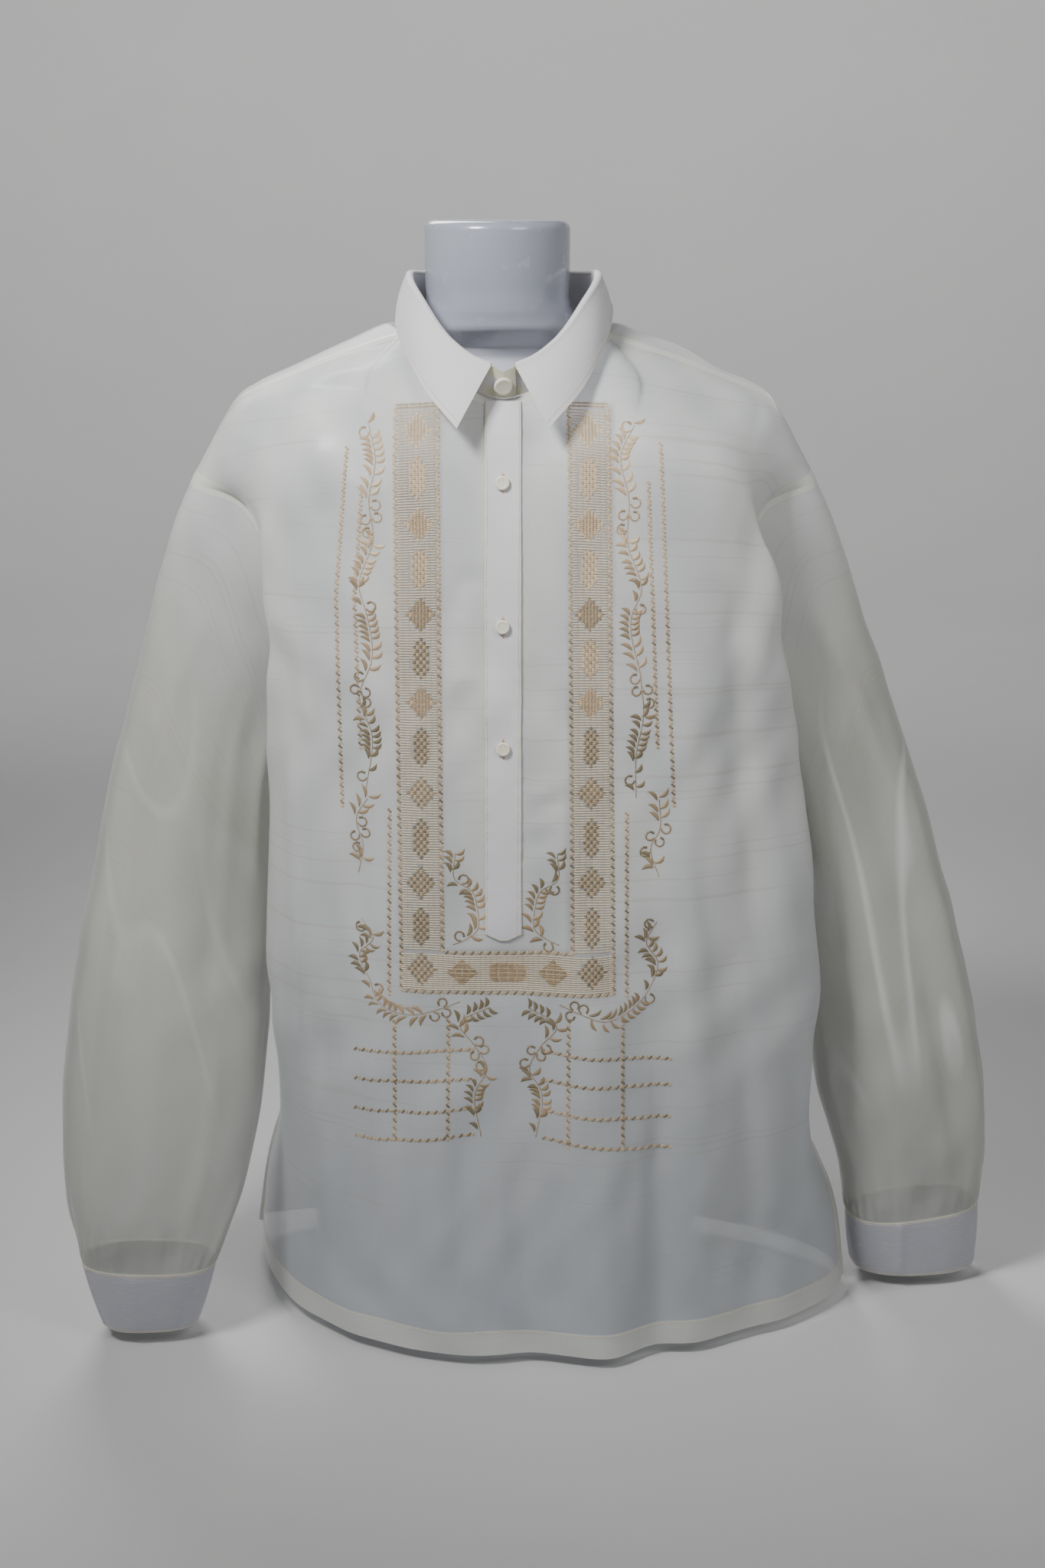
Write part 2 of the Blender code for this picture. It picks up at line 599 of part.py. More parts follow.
# Sleeves start from the armhole's own points
sleeves = {}
for name, side, j, arms, pleats in (
    ("sleeve_left", -1, 0, SLEEVE_LEFT, PLEATS_LEFT),
    ("sleeve_right", 1, last, SLEEVE_RIGHT, PLEATS_RIGHT),
):
    ring = np.concatenate([front[UNDERARM_ROW:, j], back[-2:UNDERARM_ROW:-1, j]])
    grid, angle, part = sleeve_sections(arms, side, ring)
    normals = grid_normals(grid, -side, closed=True)
    grid = add_pleats(grid, normals, angle, part, pleats)
    sleeves[name] = [grid, grid_normals(grid, -side, closed=True), j, angle]

# Side seams and shoulder seams: one normal for both panels, and a fine gap between them
for j, step in ((0, 1), (last, -1)):
    rows = slice(0, UNDERARM_ROW + 1)
    both = shared(front_normals[rows, j], back_normals[rows, j])
    front_normals[rows, j] = both
    back_normals[rows, j] = both
    front[rows, j], back[rows, j] = part_edges(
        front[rows, j], front[rows, j + step], back[rows, j], back[rows, j + step], SEAM)
for columns in (slice(0, neck_first + 1), slice(neck_last, last + 1)):
    both = shared(front_normals[-1, columns], back_normals[-1, columns])
    front_normals[-1, columns] = both
    back_normals[-1, columns] = both
    front[-1, columns], back[-1, columns] = part_edges(
        front[-1, columns], front[-2, columns], back[-1, columns], back[-2, columns], SEAM)

# Armhole seams
for grid, normals, j, angle in sleeves.values():
    step = 1 if j == 0 else -1
    count = len(ROW_AT) - 1 - UNDERARM_ROW
    ring_normals = normals[0].copy()
    for panel, panel_normals, places in (
        (front, front_normals, np.arange(0, count + 1)),
        (back, back_normals, (2 * count - np.arange(0, count + 1)) % (2 * count)),
    ):
        rows = UNDERARM_ROW + np.arange(0, count + 1)
        both = shared(panel_normals[rows, j], ring_normals[places])
        across = unit(grid[1, places] - panel[rows, j + step])
        panel_normals[rows, j] = both
        panel[rows, j] -= across * ARMHOLE_GIVE
        normals[0, places] = both
        if panel is front:
            grid[0, places] += across * ARMHOLE_GIVE
        else:
            grid[0, places[1:-1]] += across[1:-1] * ARMHOLE_GIVE


# The wall is thicker where the hem is turned up
for name, grid, normals in (("front", front, front_normals), ("back", back, back_normals)):
    above_hem = grid[..., 2] - grid[0, :, 2]
    thick = CLOTH + HEM_FOLD * smooth((HEM_DEPTH + 0.004 - above_hem) / 0.008)
    cloth_wall(name, grid, grid - normals * thick[..., None], cloth)


def level(normals, ring):
    """Normals turned into the ring's own plane, so that two walls meet face to face."""
    plane = unit(np.cross(ring[len(ring) // 4] - ring[0], ring[len(ring) // 2] - ring[0]))
    return unit(normals - (normals @ plane)[:, None] * plane)


# Sleeves and cuffs
for name, (grid, normals, j, angle) in sleeves.items():
    side = -1 if j == 0 else 1
    arms, hem = (SLEEVE_LEFT, CUFF_LEFT) if j == 0 else (SLEEVE_RIGHT, CUFF_RIGHT)
    normals[-1] = level(normals[-1], grid[-1])
    cloth_wall(name, grid, grid - normals * CLOTH, cloth, closed=True)
    start = oval(arms[-1], side, angle) - np.array([0.0, 0.0, SEAM])
    end = oval(hem, side, angle)
    cuff = np.array([start + (end - start) * part for part in (0.0, 0.5, 1.0)])
    cuff_normals = grid_normals(cuff, -side, closed=True)
    for k in (0, -1):
        cuff_normals[k] = level(cuff_normals[k], cuff[k])
    cuff_name = name.replace("sleeve", "cuff")
    cloth_wall(cuff_name, cuff, cuff - cuff_normals * STIFF, trim, closed=True)
    k = int(np.argmin(np.abs(np.degrees(angle) - CUFF_BUTTON_ANGLE)))
    spot = cuff[1, k] + cuff_normals[1, k] * BUTTON_GAP
    disc("cuff_button_" + cuff_name.split("_")[1], spot, cuff_normals[1, k], BUTTON_RADIUS, covered)

# Collar stand: an open band on the neckline whose end on the left laps over the other
neck_front = front[-1, neck_first : neck_last + 1]
neck_back = back[-1, neck_first : neck_last + 1]
loop = np.concatenate([neck_front[NECK_COLUMNS:-1], neck_back[::-1], neck_front[1:NECK_COLUMNS]])


def fold_line(angle):
    """The fold's place above the stand, at an angle from the front."""
    away = np.abs(angle)
    half = 0.0715
    depth = np.where(away < 90.0, 0.090, 0.078)
    x = half * np.sin(np.radians(angle))
    y = -0.010 - depth * np.cos(np.radians(away))
    z = curve_through(column(LEAF, "angle"), column(LEAF, "fold_z"), away)
    return np.stack([x, y, z], axis=-1)


def seam_line(angle):
    """The neckline's place below the stand, at an angle from the front."""
    around = np.degrees(np.arctan2(loop[:, 0] / NECK_HALF, -(loop[:, 1] + 0.012) / 0.080))
    order = np.argsort(around)
    around = np.concatenate([[around[order][-1] - 360.0], around[order], [around[order][0] + 360.0]])
    points = loop[order]
    points = np.concatenate([points[-1:], points, points[:1]])
    wrapped = (np.asarray(angle, dtype=float) + 180.0) % 360.0 - 180.0
    return np.stack([np.interp(wrapped, around, points[:, axis]) for axis in range(3)], axis=-1)


angles = np.linspace(0.0, 360.0, STAND_COLUMNS)
angles = np.concatenate([[-STAND_LAP], angles, [360.0 + STAND_LAP]])
outward = np.stack([np.sin(np.radians(angles)), -np.cos(np.radians(angles)), np.zeros_like(angles)], axis=1)
over = smooth((angles - 340.0) / 12.0) * (STIFF + 2 * SEAM)
wrapped = (angles + 180.0) % 360.0 - 180.0
low = seam_line(angles) + np.array([0.0, 0.0, SEAM * 2]) + outward * over[:, None]
high = fold_line(wrapped) - np.array([0.0, 0.0, STAND_BELOW_FOLD]) + outward * over[:, None]
stand = np.array([low, low * 0.5 + high * 0.5, high])
cloth_wall("collar_stand", stand, stand - outward[None] * STIFF, trim)

# Collar leaf: over the stand's top and down to its pointed edge
half_angles = np.array([7.0, 12.0, 18.0, 25.0, 33.0, 42.0, 52.0, 62.0, 74.0, 88.0, 104.0, 122.0, 142.0, 162.0, 180.0])
angles = np.concatenate([-half_angles, half_angles[-2::-1]])
side = np.sign(angles)
edge = np.stack([
    side * curve_through(column(LEAF, "angle"), column(LEAF, "edge_x"), np.abs(angles)),
    curve_through(column(LEAF, "angle"), column(LEAF, "edge_y"), np.abs(angles)),
    curve_through(column(LEAF, "angle"), column(LEAF, "edge_z"), np.abs(angles)),
], axis=1)
outward = np.stack([np.sin(np.radians(angles)), -np.cos(np.radians(angles)), np.zeros_like(angles)], axis=1)
fold = fold_line(angles)
up = np.array([0.0, 0.0, 1.0])
under = fold - up * LEAF_BELOW_FOLD
inner_rows = [under - outward * STIFF * 0.5, under + outward * (STIFF + LEAF_CLEAR)]
outer_rows = [inner_rows[0] + up * STIFF, inner_rows[1] + up * STIFF * 0.6 + outward * STIFF * 0.8]
hang = edge - outer_rows[1]
for part in (0.34, 0.67, 1.0):
    bow = outward * LEAF_BOW * math.sin(math.pi * part)
    outer_rows.append(outer_rows[1] + hang * part + bow)
    inner_rows.append(outer_rows[-1] - outward * STIFF)
cloth_wall("collar_leaf", np.array(outer_rows), np.array(inner_rows), trim)

# Placket: a strip on the front's own points, moved out
middle = last // 2


def front_at(x, z):
    """The front's outer point in this place, seen from the front, and its normal."""
    span = slice(middle - 4, middle + 5)
    heights = front[:, middle, 2]
    row = np.interp(z, heights, np.arange(len(heights)))
    low_row = int(np.clip(math.floor(row), 0, len(heights) - 2))
    part = row - low_row
    points = front[low_row, span] * (1 - part) + front[low_row + 1, span] * part
    normals = front_normals[low_row, span] * (1 - part) + front_normals[low_row + 1, span] * part
    place = np.array([np.interp(x, points[:, 0], points[:, axis]) for axis in range(3)])
    normal = np.array([np.interp(x, points[:, 0], normals[:, axis]) for axis in range(3)])
    return place, unit(normal)


row_heights = front[:, middle, 2]
inside = (row_heights > PLACKET_TIP_Z + 0.012) & (row_heights < NECK_FRONT[1] - 0.006)
heights = np.concatenate([[PLACKET_TIP_Z], row_heights[inside], [NECK_FRONT[1] - 0.002]])
placket_outer = []
placket_inner = []
for z in heights:
    outer_row = []
    inner_row = []
    for share in (-1.0, -0.5, 0.0, 0.5, 1.0):
        raise_by = PLACKET_POINT * abs(share) * (1.0 if z == heights[0] else 0.0)
        place, normal = front_at(share * PLACKET_WIDTH / 2, z + raise_by)
        inner_row.append(place + normal * PLACKET_GAP)
        outer_row.append(place + normal * (PLACKET_GAP + PLACKET_THICK))
    placket_outer.append(outer_row)
    placket_inner.append(inner_row)
cloth_wall("placket", np.array(placket_outer), np.array(placket_inner), trim)

# Buttons down the placket and on the stand
for number, z in enumerate(BUTTON_HEIGHTS, 1):
    place, normal = front_at(0.0, z)
    lift = PLACKET_GAP + PLACKET_THICK + BUTTON_GAP
    disc(f"button_{number}", place + normal * lift, normal, BUTTON_RADIUS, covered)
stand_facing = unit(np.cross(stand[1, -1] - stand[1, -3], stand[2, -2] - stand[0, -2]))
place = stand[1, -2] + stand_facing * PLACKET_GAP
disc("button_stand", place, stand_facing, STAND_BUTTON_RADIUS, covered)

# Dress form: rings up to the shoulders, under the cloth on the shoulders, then the neck block
ridge_x = column(SHOULDER, "x")[::-1]
ridge_z = column(SHOULDER, "z")[::-1] - CLOTH - FORM_DROP
rings = list(FORM)
for z in FORM_SHOULDER:
    half = float(np.interp(z, ridge_z, ridge_x)) - FORM_CLEAR
    rings.append(Ring(z, half, 0.036, 0.050, 2.0))
rings.extend(FORM_NECK)
for z in (0.842, NECKBLOCK_TOP - 0.007):
    rings.append(Ring(z, NECKBLOCK_RADIUS, NECKBLOCK_RADIUS, NECKBLOCK_RADIUS, 2.0))
for drop, inset in ((0.0035, 0.0006), (0.0012, 0.0022), (0.0, 0.0050)):
    radius = NECKBLOCK_RADIUS - inset
    rings.append(Ring(NECKBLOCK_TOP - drop, radius, radius, radius, 2.0))
turn = np.linspace(0.0, 2 * math.pi, FORM_SIDES, endpoint=False)
points = []
for ring in rings:
    power = 2.0 / ring.square
    x = ring.half_width * np.sign(np.sin(turn)) * np.abs(np.sin(turn)) ** power
    reach = np.where(np.cos(turn) > 0, ring.front, ring.back)
    y = -reach * np.sign(np.cos(turn)) * np.abs(np.cos(turn)) ** power
    lean = NECKBLOCK_X * smooth((ring.z - FORM_SHOULDER[-1]) / 0.04)
    points.append(np.stack([x + lean, y, np.full_like(x, ring.z)], axis=1))
points = np.concatenate(points)
faces = [tuple(range(FORM_SIDES)), tuple(range(len(points) - FORM_SIDES, len(points)))[::-1]]
for i in range(len(rings) - 1):
    for k in range(FORM_SIDES):
        a, b = i * FORM_SIDES + k, i * FORM_SIDES + (k + 1) % FORM_SIDES
        faces.append((a, a + FORM_SIDES, b + FORM_SIDES, b))
solid("dress_form", points, faces, plastic)
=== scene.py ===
"""The looks of a barong tagalog shirt on a limbless dress form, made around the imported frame.

Metres, +Z up, the shirt's front to -Y. Left and right are those of someone who looks at the front.
"""

import math
from collections import namedtuple

import bmesh
import bpy
import numpy as np
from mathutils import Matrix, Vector
from mathutils.bvhtree import BVHTree


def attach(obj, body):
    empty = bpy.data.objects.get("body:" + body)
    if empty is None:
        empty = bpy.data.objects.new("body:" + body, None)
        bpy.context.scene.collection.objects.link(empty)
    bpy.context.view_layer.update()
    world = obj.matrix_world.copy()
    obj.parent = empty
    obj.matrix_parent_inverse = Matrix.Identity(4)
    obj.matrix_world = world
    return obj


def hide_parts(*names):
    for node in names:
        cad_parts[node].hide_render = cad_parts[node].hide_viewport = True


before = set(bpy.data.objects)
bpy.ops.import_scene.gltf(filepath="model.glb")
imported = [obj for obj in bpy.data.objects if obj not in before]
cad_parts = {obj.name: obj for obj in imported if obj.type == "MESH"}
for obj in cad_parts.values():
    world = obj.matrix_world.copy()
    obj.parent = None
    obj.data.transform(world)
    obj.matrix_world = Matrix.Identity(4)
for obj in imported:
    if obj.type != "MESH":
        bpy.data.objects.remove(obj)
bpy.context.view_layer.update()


# The room: a round pale floor that bends up into its wall, soft light from above, lamps aimed at
# the chest, and a camera two metres in front of the shirt that looks a little down on it.

class Value:
    """A value in a finish. Sums and products with it become Math nodes."""

    def __init__(self, finish, socket):
        self.finish = finish
        self.socket = socket

    def sum_with(self, operation, first, second):
        return self.finish.node("ShaderNodeMath", {"operation": operation}, {0: first, 1: second})

    def __add__(self, other):
        return self.sum_with("ADD", self, other)

    def __sub__(self, other):
        return self.sum_with("SUBTRACT", self, other)

    def __rsub__(self, other):
        return self.sum_with("SUBTRACT", other, self)

    def __mul__(self, other):
        return self.sum_with("MULTIPLY", self, other)

    def __gt__(self, other):
        return self.sum_with("GREATER_THAN", self, other)

    def __lt__(self, other):
        return self.sum_with("LESS_THAN", self, other)

    __radd__ = __add__
    __rmul__ = __mul__


class Finish:
    """A procedural material and its Principled shader."""

    def __init__(self, name):
        self.material = bpy.data.materials.new(name)
        self.material.use_nodes = True
        self.tree = self.material.node_tree
        self.shader = self.tree.nodes["Principled BSDF"]

    def node(self, kind, settings=None, inputs=None, output=0):
        made = self.tree.nodes.new(kind)
        for key, value in (settings or {}).items():
            if key == "stops":
                for _ in value[2:]:
                    made.color_ramp.elements.new(1.0)
                for stop, (place, colour) in zip(made.color_ramp.elements, value):
                    stop.position = place
                    stop.color = (*colour, 1.0)
            else:
                setattr(made, key, value)
        for key, value in (inputs or {}).items():
            self.feed(made.inputs[key], value)
        return Value(self, made.outputs[output])

    def feed(self, socket, value):
        if isinstance(value, Value):
            self.tree.links.new(value.socket, socket)
        elif isinstance(value, tuple) and len(value) == 3 and socket.type == "RGBA":
            socket.default_value = (*value, 1.0)
        else:
            socket.default_value = value

    def place(self):
        return self.node("ShaderNodeTexCoord", output="Object")

    def stored(self, name):
        """A number kept on the mesh, such as a distance from a seam."""
        return self.node("ShaderNodeAttribute", {"attribute_name": name}, output="Fac")

    def stretched(self, vector, scale):
        return self.node("ShaderNodeMapping", {}, {"Vector": vector, "Scale": scale})

    def noise(self, vector, scale, detail=3.0, roughness=0.55):
        inputs = {"Vector": vector, "Scale": scale, "Detail": detail, "Roughness": roughness}
        return self.node("ShaderNodeTexNoise", {}, inputs, "Fac")

    def step(self, value, low, high):
        """A soft step from 0 below low to 1 above high."""
        settings = {"interpolation_type": "SMOOTHSTEP"}
        inputs = {"Value": value, "From Min": low, "From Max": high}
        return self.node("ShaderNodeMapRange", settings, inputs)

    def mix(self, first, second, share):
        """A colour between two, by a share from 0 to 1."""
        return self.node("ShaderNodeMix", {"data_type": "RGBA"}, {0: share, 6: first, 7: second}, 2)

    def bump(self, height, depth, strength=1.0):
        inputs = {"Height": height, "Distance": depth, "Strength": strength}
        return self.node("ShaderNodeBump", {}, inputs)

    def finish(self, **values):
        """Sets the shader's sockets, with underscores for the spaces in their names."""
        for name, value in values.items():
            self.feed(self.shader.inputs[name.replace("_", " ")], value)
        return self.material


def mesh_object(name, points, faces, material, smooth_shading=True):
    mesh = bpy.data.meshes.new(name)
    mesh.from_pydata(np.asarray(points).tolist(), [], faces)
    mesh.materials.append(material)
    if smooth_shading:
        mesh.shade_smooth()
    made = bpy.data.objects.new(name, mesh)
    bpy.context.scene.collection.objects.link(made)
    return made


FLOOR_RADIUS = 3.6
BEND_RADIUS = 1.6
WALL_TOP = 2.4
WALL_COLOUR = (0.80, 0.82, 0.85)
LAMPS = (
    ("lamp_key", (-0.85, -1.10, 1.95), (0.00, -0.05, 0.76), 0.45, 5.6, 60.0),
    ("lamp_fill", (1.15, -1.50, 1.90), (0.02, -0.05, 0.72), 0.80, 2.0, 66.0),
    ("lamp_rear", (-0.60, 1.90, 2.10), (0.00, 0.0, 0.60), 1.00, 9.0, 90.0),
    ("lamp_wall_behind", (0.0, 1.8, 3.2), (0.0, 5.0, 1.60), 2.4, 75.0, 150.0),
    ("lamp_wall_before", (0.0, -1.8, 3.2), (0.0, -5.0, 1.60), 2.4, 75.0, 150.0),
    ("lamp_wall_left", (-1.8, 0.0, 3.2), (-5.0, 0.0, 1.60), 2.4, 75.0, 150.0),
    ("lamp_wall_right", (1.8, 0.0, 3.2), (5.0, 0.0, 1.60), 2.4, 75.0, 150.0),
)
LENS = 58.0
CAMERA_PLACE = (0.0145, -2.0, 0.93)
CAMERA_TILT = 76.3

floor_finish = Finish("pale_floor")
floor_grain = floor_finish.noise(floor_finish.place(), 3.0)
floor_colour = floor_finish.mix((0.60, 0.60, 0.60), (0.64, 0.64, 0.63), floor_grain)
floor_finish.finish(Base_Color=floor_colour, Roughness=0.65)
sweep = [(0.02, 0.0), (FLOOR_RADIUS, 0.0)]
sweep += [(FLOOR_RADIUS + BEND_RADIUS * math.sin(a), BEND_RADIUS * (1.0 - math.cos(a)))
          for a in np.linspace(0.0, math.pi / 2, 17)[1:]]
sweep += [(FLOOR_RADIUS + BEND_RADIUS, WALL_TOP)]
turns = np.linspace(0.0, 2 * math.pi, 96, endpoint=False)
floor_points = [(r * math.cos(a), r * math.sin(a), z) for r, z in sweep for a in turns]
floor_faces = [tuple(range(96))]
for i in range(len(sweep) - 1):
    for k in range(96):
        a, b = 96 * i + k, 96 * i + (k + 1) % 96
        floor_faces.append((b, a, a + 96, b + 96))
floor = mesh_object("floor", floor_points, floor_faces, floor_finish.material)

world = bpy.data.worlds.new("pale_room")
world.use_nodes = True
world.node_tree.nodes["Background"].inputs["Color"].default_value = (*WALL_COLOUR, 1.0)
world.node_tree.nodes["Background"].inputs["Strength"].default_value = 0.12
bpy.context.scene.world = world

for name, place, aim, size, power, spread in LAMPS:
    lamp_data = bpy.data.lights.new(name, "AREA")
    lamp_data.size = size
    lamp_data.energy = power
    lamp_data.spread = math.radians(spread)
    lamp = bpy.data.objects.new(name, lamp_data)
    lamp.location = place
    lamp.rotation_euler = (Vector(aim) - Vector(place)).to_track_quat("-Z", "Y").to_euler()
    bpy.context.scene.collection.objects.link(lamp)

camera_data = bpy.data.cameras.new("camera")
camera_data.sensor_width = 36.0
camera_data.lens = LENS
camera = bpy.data.objects.new("camera", camera_data)
camera.location = CAMERA_PLACE
camera.rotation_euler = (math.radians(CAMERA_TILT), 0.0, 0.0)
bpy.context.scene.collection.objects.link(camera)
bpy.context.scene.camera = camera


# The dress form: a moulded half-length body of glossy white plastic with a straight neck block.
# It stands on its flat base inside the shirt, which hangs from its shoulders.

Ring = namedtuple("Ring", "z half_width front back square")
FORM = (
    Ring(0.000, 0.158, 0.105, 0.112, 2.2),
    Ring(0.060, 0.160, 0.107, 0.115, 2.2),
    Ring(0.150, 0.158, 0.105, 0.112, 2.2),
    Ring(0.280, 0.141, 0.100, 0.096, 2.2),
    Ring(0.400, 0.143, 0.106, 0.098, 2.3),
    Ring(0.500, 0.150, 0.112, 0.106, 2.4),
    Ring(0.580, 0.162, 0.110, 0.110, 2.4),
    Ring(0.640, 0.176, 0.100, 0.108, 2.4),
    Ring(0.690, 0.189, 0.084, 0.098, 2.4),
    Ring(0.725, 0.199, 0.064, 0.082, 2.3),
    Ring(0.750, 0.202, 0.046, 0.066, 2.2),
    Ring(0.765, 0.189, 0.036, 0.050, 2.0),
    Ring(0.778, 0.163, 0.036, 0.050, 2.0),
    Ring(0.7885, 0.136, 0.034, 0.048, 2.0),
    Ring(0.7960, 0.098, 0.036, 0.046, 2.0),
    Ring(0.8020, 0.073, 0.044, 0.048, 2.0),
    Ring(0.8110, 0.065, 0.055, 0.054, 2.0),
    Ring(0.8260, 0.0585, 0.0580, 0.0580, 2.0),
)
NECKBLOCK_RADIUS = 0.0565
NECKBLOCK_TOP = 0.891
NECKBLOCK_LEAN = -0.005
NECKBLOCK_EDGE = 0.007
FORM_SIDES = 96
FORM_CLEAR = 0.0012


def smooth(value):
    """A soft step from 0 to 1."""
    value = np.clip(value, 0.0, 1.0)
    return value * value * (3.0 - 2.0 * value)


def form_rings():
    """Rings from the base to the rounded edge of the neck block's flat top."""
    rings = []
    for low, high in zip(FORM[:-1], FORM[1:]):
        for part in (0.0, 0.25, 0.5, 0.75):
            rings.append(Ring(*(a + (b - a) * part for a, b in zip(low, high))))
    rings.append(FORM[-1])
    radius = NECKBLOCK_RADIUS
    for z in (0.834, 0.842, 0.860, NECKBLOCK_TOP - NECKBLOCK_EDGE):
        rings.append(Ring(z, radius, radius, radius, 2.0))
    for turn in np.radians(np.arange(11.25, 91.0, 11.25)):
        inset = NECKBLOCK_EDGE * (1.0 - math.cos(turn))
        z = NECKBLOCK_TOP - NECKBLOCK_EDGE * (1.0 - math.sin(turn))
        rings.append(Ring(z, radius - inset, radius - inset, radius - inset, 2.0))
    return rings


turn = np.linspace(0.0, 2 * math.pi, FORM_SIDES, endpoint=False)
form_points = []
for ring in form_rings():
    power = 2.0 / ring.square
    clear = FORM_CLEAR * float(smooth((ring.z - 0.60) / 0.10) * smooth((0.85 - ring.z) / 0.02))
    x = (ring.half_width - clear) * np.sign(np.sin(turn)) * np.abs(np.sin(turn)) ** power
    reach = np.where(np.cos(turn) > 0, ring.front, ring.back) - clear
    y = -reach * np.sign(np.cos(turn)) * np.abs(np.cos(turn)) ** power
    lean = NECKBLOCK_LEAN * float(smooth((ring.z - 0.778) / 0.04))
    form_points.append(np.stack([x + lean, y, np.full_like(x, ring.z)], axis=1))
form_grid = np.array(form_points)
rows, sides = form_grid.shape[:2]
form_faces = [tuple(range(sides)), tuple(range((rows - 1) * sides, rows * sides))[::-1]]
for i in range(rows - 1):
    for k in range(sides):
        a, b = i * sides + k, i * sides + (k + 1) % sides
        form_faces.append((a, a + sides, b + sides, b))

form_finish = Finish("form_gloss_white")
form_place = form_finish.place()
mottle = form_finish.noise(form_place, 9.0, 1.0)
form_colour = form_finish.mix((0.50, 0.51, 0.59), (0.60, 0.61, 0.68), mottle)
# Painted shade: the neck block is coloured darker from z 0.78 up, for the shade that falls on it.
form_height = form_finish.node("ShaderNodeSeparateXYZ", {}, {"Vector": form_place}, "Z")
neck_painted_shade = form_finish.mix((0.25, 0.265, 0.32), (0.36, 0.375, 0.43), mottle)
form_colour = form_finish.mix(form_colour, neck_painted_shade, form_finish.step(form_height, 0.78, 0.83))
scuffs = form_finish.step(form_finish.noise(form_place, 60.0, 2.0), 0.62, 0.72)
form_colour = form_finish.mix(form_colour, (0.45, 0.45, 0.51), scuffs * 0.20)
ripple = form_finish.noise(form_place, 45.0, 1.0)
form_finish.finish(
    Base_Color=form_colour, Roughness=0.24 + scuffs * 0.2, Coat_Weight=0.5,
    Coat_Roughness=0.12, Normal=form_finish.bump(ripple, 0.0006, 0.35))
dress_form = mesh_object("form_body", form_grid.reshape(-1, 3), form_faces, form_finish.material)
dress_form.data.set_sharp_from_angle(angle=math.radians(50))
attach(dress_form, "root")
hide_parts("dress_form")


# Front and back: two panels of sheer plain weave, sewn at the shoulders and down the sides as far
# as the vents, with a narrow hem turned up below. The front is one piece under the placket.

Half = namedtuple("Half", "edge_x edge_y edge_z fold square lift")
Middle = namedtuple("Middle", "y z")
Ridge = namedtuple("Ridge", "x z")
Fold = namedtuple("Fold", "x_top x_low z_top z_low height width")
Crease = namedtuple("Crease", "x_from z_from x_to z_to height width")
# The line of both shoulders, from the neck to the dropped end of the shoulder
SHOULDER = (
    Ridge(0.078, 0.8155),
    Ridge(0.098, 0.8085),
    Ridge(0.117, 0.8010),
    Ridge(0.144, 0.7900),
    Ridge(0.170, 0.7780),
    Ridge(0.194, 0.7665),
    Ridge(0.211, 0.7545),
    Ridge(0.2215, 0.7380),
    Ridge(0.2315, 0.7190),
    Ridge(0.241, 0.7015),
)
# One row for each section of the front, hem first: its middle, and its left and right half
FRONT_MIDDLE = (
    Middle(-0.150, 0.010),
    Middle(-0.149, 0.090),
    Middle(-0.147, 0.190),
    Middle(-0.144, 0.300),
    Middle(-0.141, 0.400),
    Middle(-0.138, 0.480),
    Middle(-0.134, 0.560),
    Middle(-0.127, 0.640),
    Middle(-0.114, 0.705),
)
FRONT_LEFT = (
    Half(0.215, 0.085, 0.026, 0.000, 2.1, 0.000),
    Half(0.205, 0.070, 0.100, 0.000, 2.2, 0.000),
    Half(0.180, 0.052, 0.190, 0.187, 2.4, 0.000),
    Half(0.166, 0.035, 0.300, 0.191, 2.6, 0.000),
    Half(0.160, 0.020, 0.400, 0.189, 2.6, 0.000),
    Half(0.160, 0.010, 0.470, 0.186, 2.6, 0.000),
    Half(0.162, -0.020, 0.530, 0.184, 2.8, 0.000),
    Half(0.174, -0.045, 0.605, 0.183, 3.0, 0.010),
    Half(0.200, -0.052, 0.678, 0.000, 3.0, 0.036),
)
FRONT_RIGHT = (
    Half(0.287, 0.000, 0.012, 0.000, 1.85, 0.000),
    Half(0.276, 0.000, 0.090, 0.000, 2.0, 0.000),
    Half(0.232, 0.000, 0.190, 0.249, 2.3, 0.000),
    Half(0.220, 0.005, 0.300, 0.253, 2.5, 0.000),
    Half(0.206, 0.010, 0.400, 0.243, 2.6, 0.000),
    Half(0.190, 0.010, 0.470, 0.233, 2.6, 0.000),
    Half(0.180, -0.020, 0.530, 0.221, 2.8, 0.000),
    Half(0.182, -0.045, 0.605, 0.209, 3.0, 0.010),
    Half(0.203, -0.052, 0.678, 0.000, 3.0, 0.036),
)
BACK_MIDDLE = (
    Middle(0.150, 0.012),
    Middle(0.149, 0.090),
    Middle(0.146, 0.190),
    Middle(0.142, 0.300),
    Middle(0.138, 0.400),
    Middle(0.136, 0.480),
    Middle(0.134, 0.560),
    Middle(0.130, 0.640),
    Middle(0.119, 0.720),
)
BACK_LEFT = (
    Half(0.218, 0.088, 0.024, 0.000, 3.0, 0.000),
    Half(0.206, 0.072, 0.100, 0.000, 3.0, 0.000),
    Half(0.180, 0.052, 0.190, 0.184, 3.0, 0.000),
    Half(0.166, 0.035, 0.300, 0.178, 3.0, 0.000),
    Half(0.160, 0.020, 0.400, 0.174, 3.0, 0.000),
    Half(0.160, 0.010, 0.470, 0.174, 3.0, 0.000),
    Half(0.162, 0.034, 0.530, 0.178, 3.0, 0.000),
    Half(0.176, 0.052, 0.605, 0.186, 3.0, 0.010),
    Half(0.204, 0.050, 0.678, 0.000, 3.0, 0.034),
)
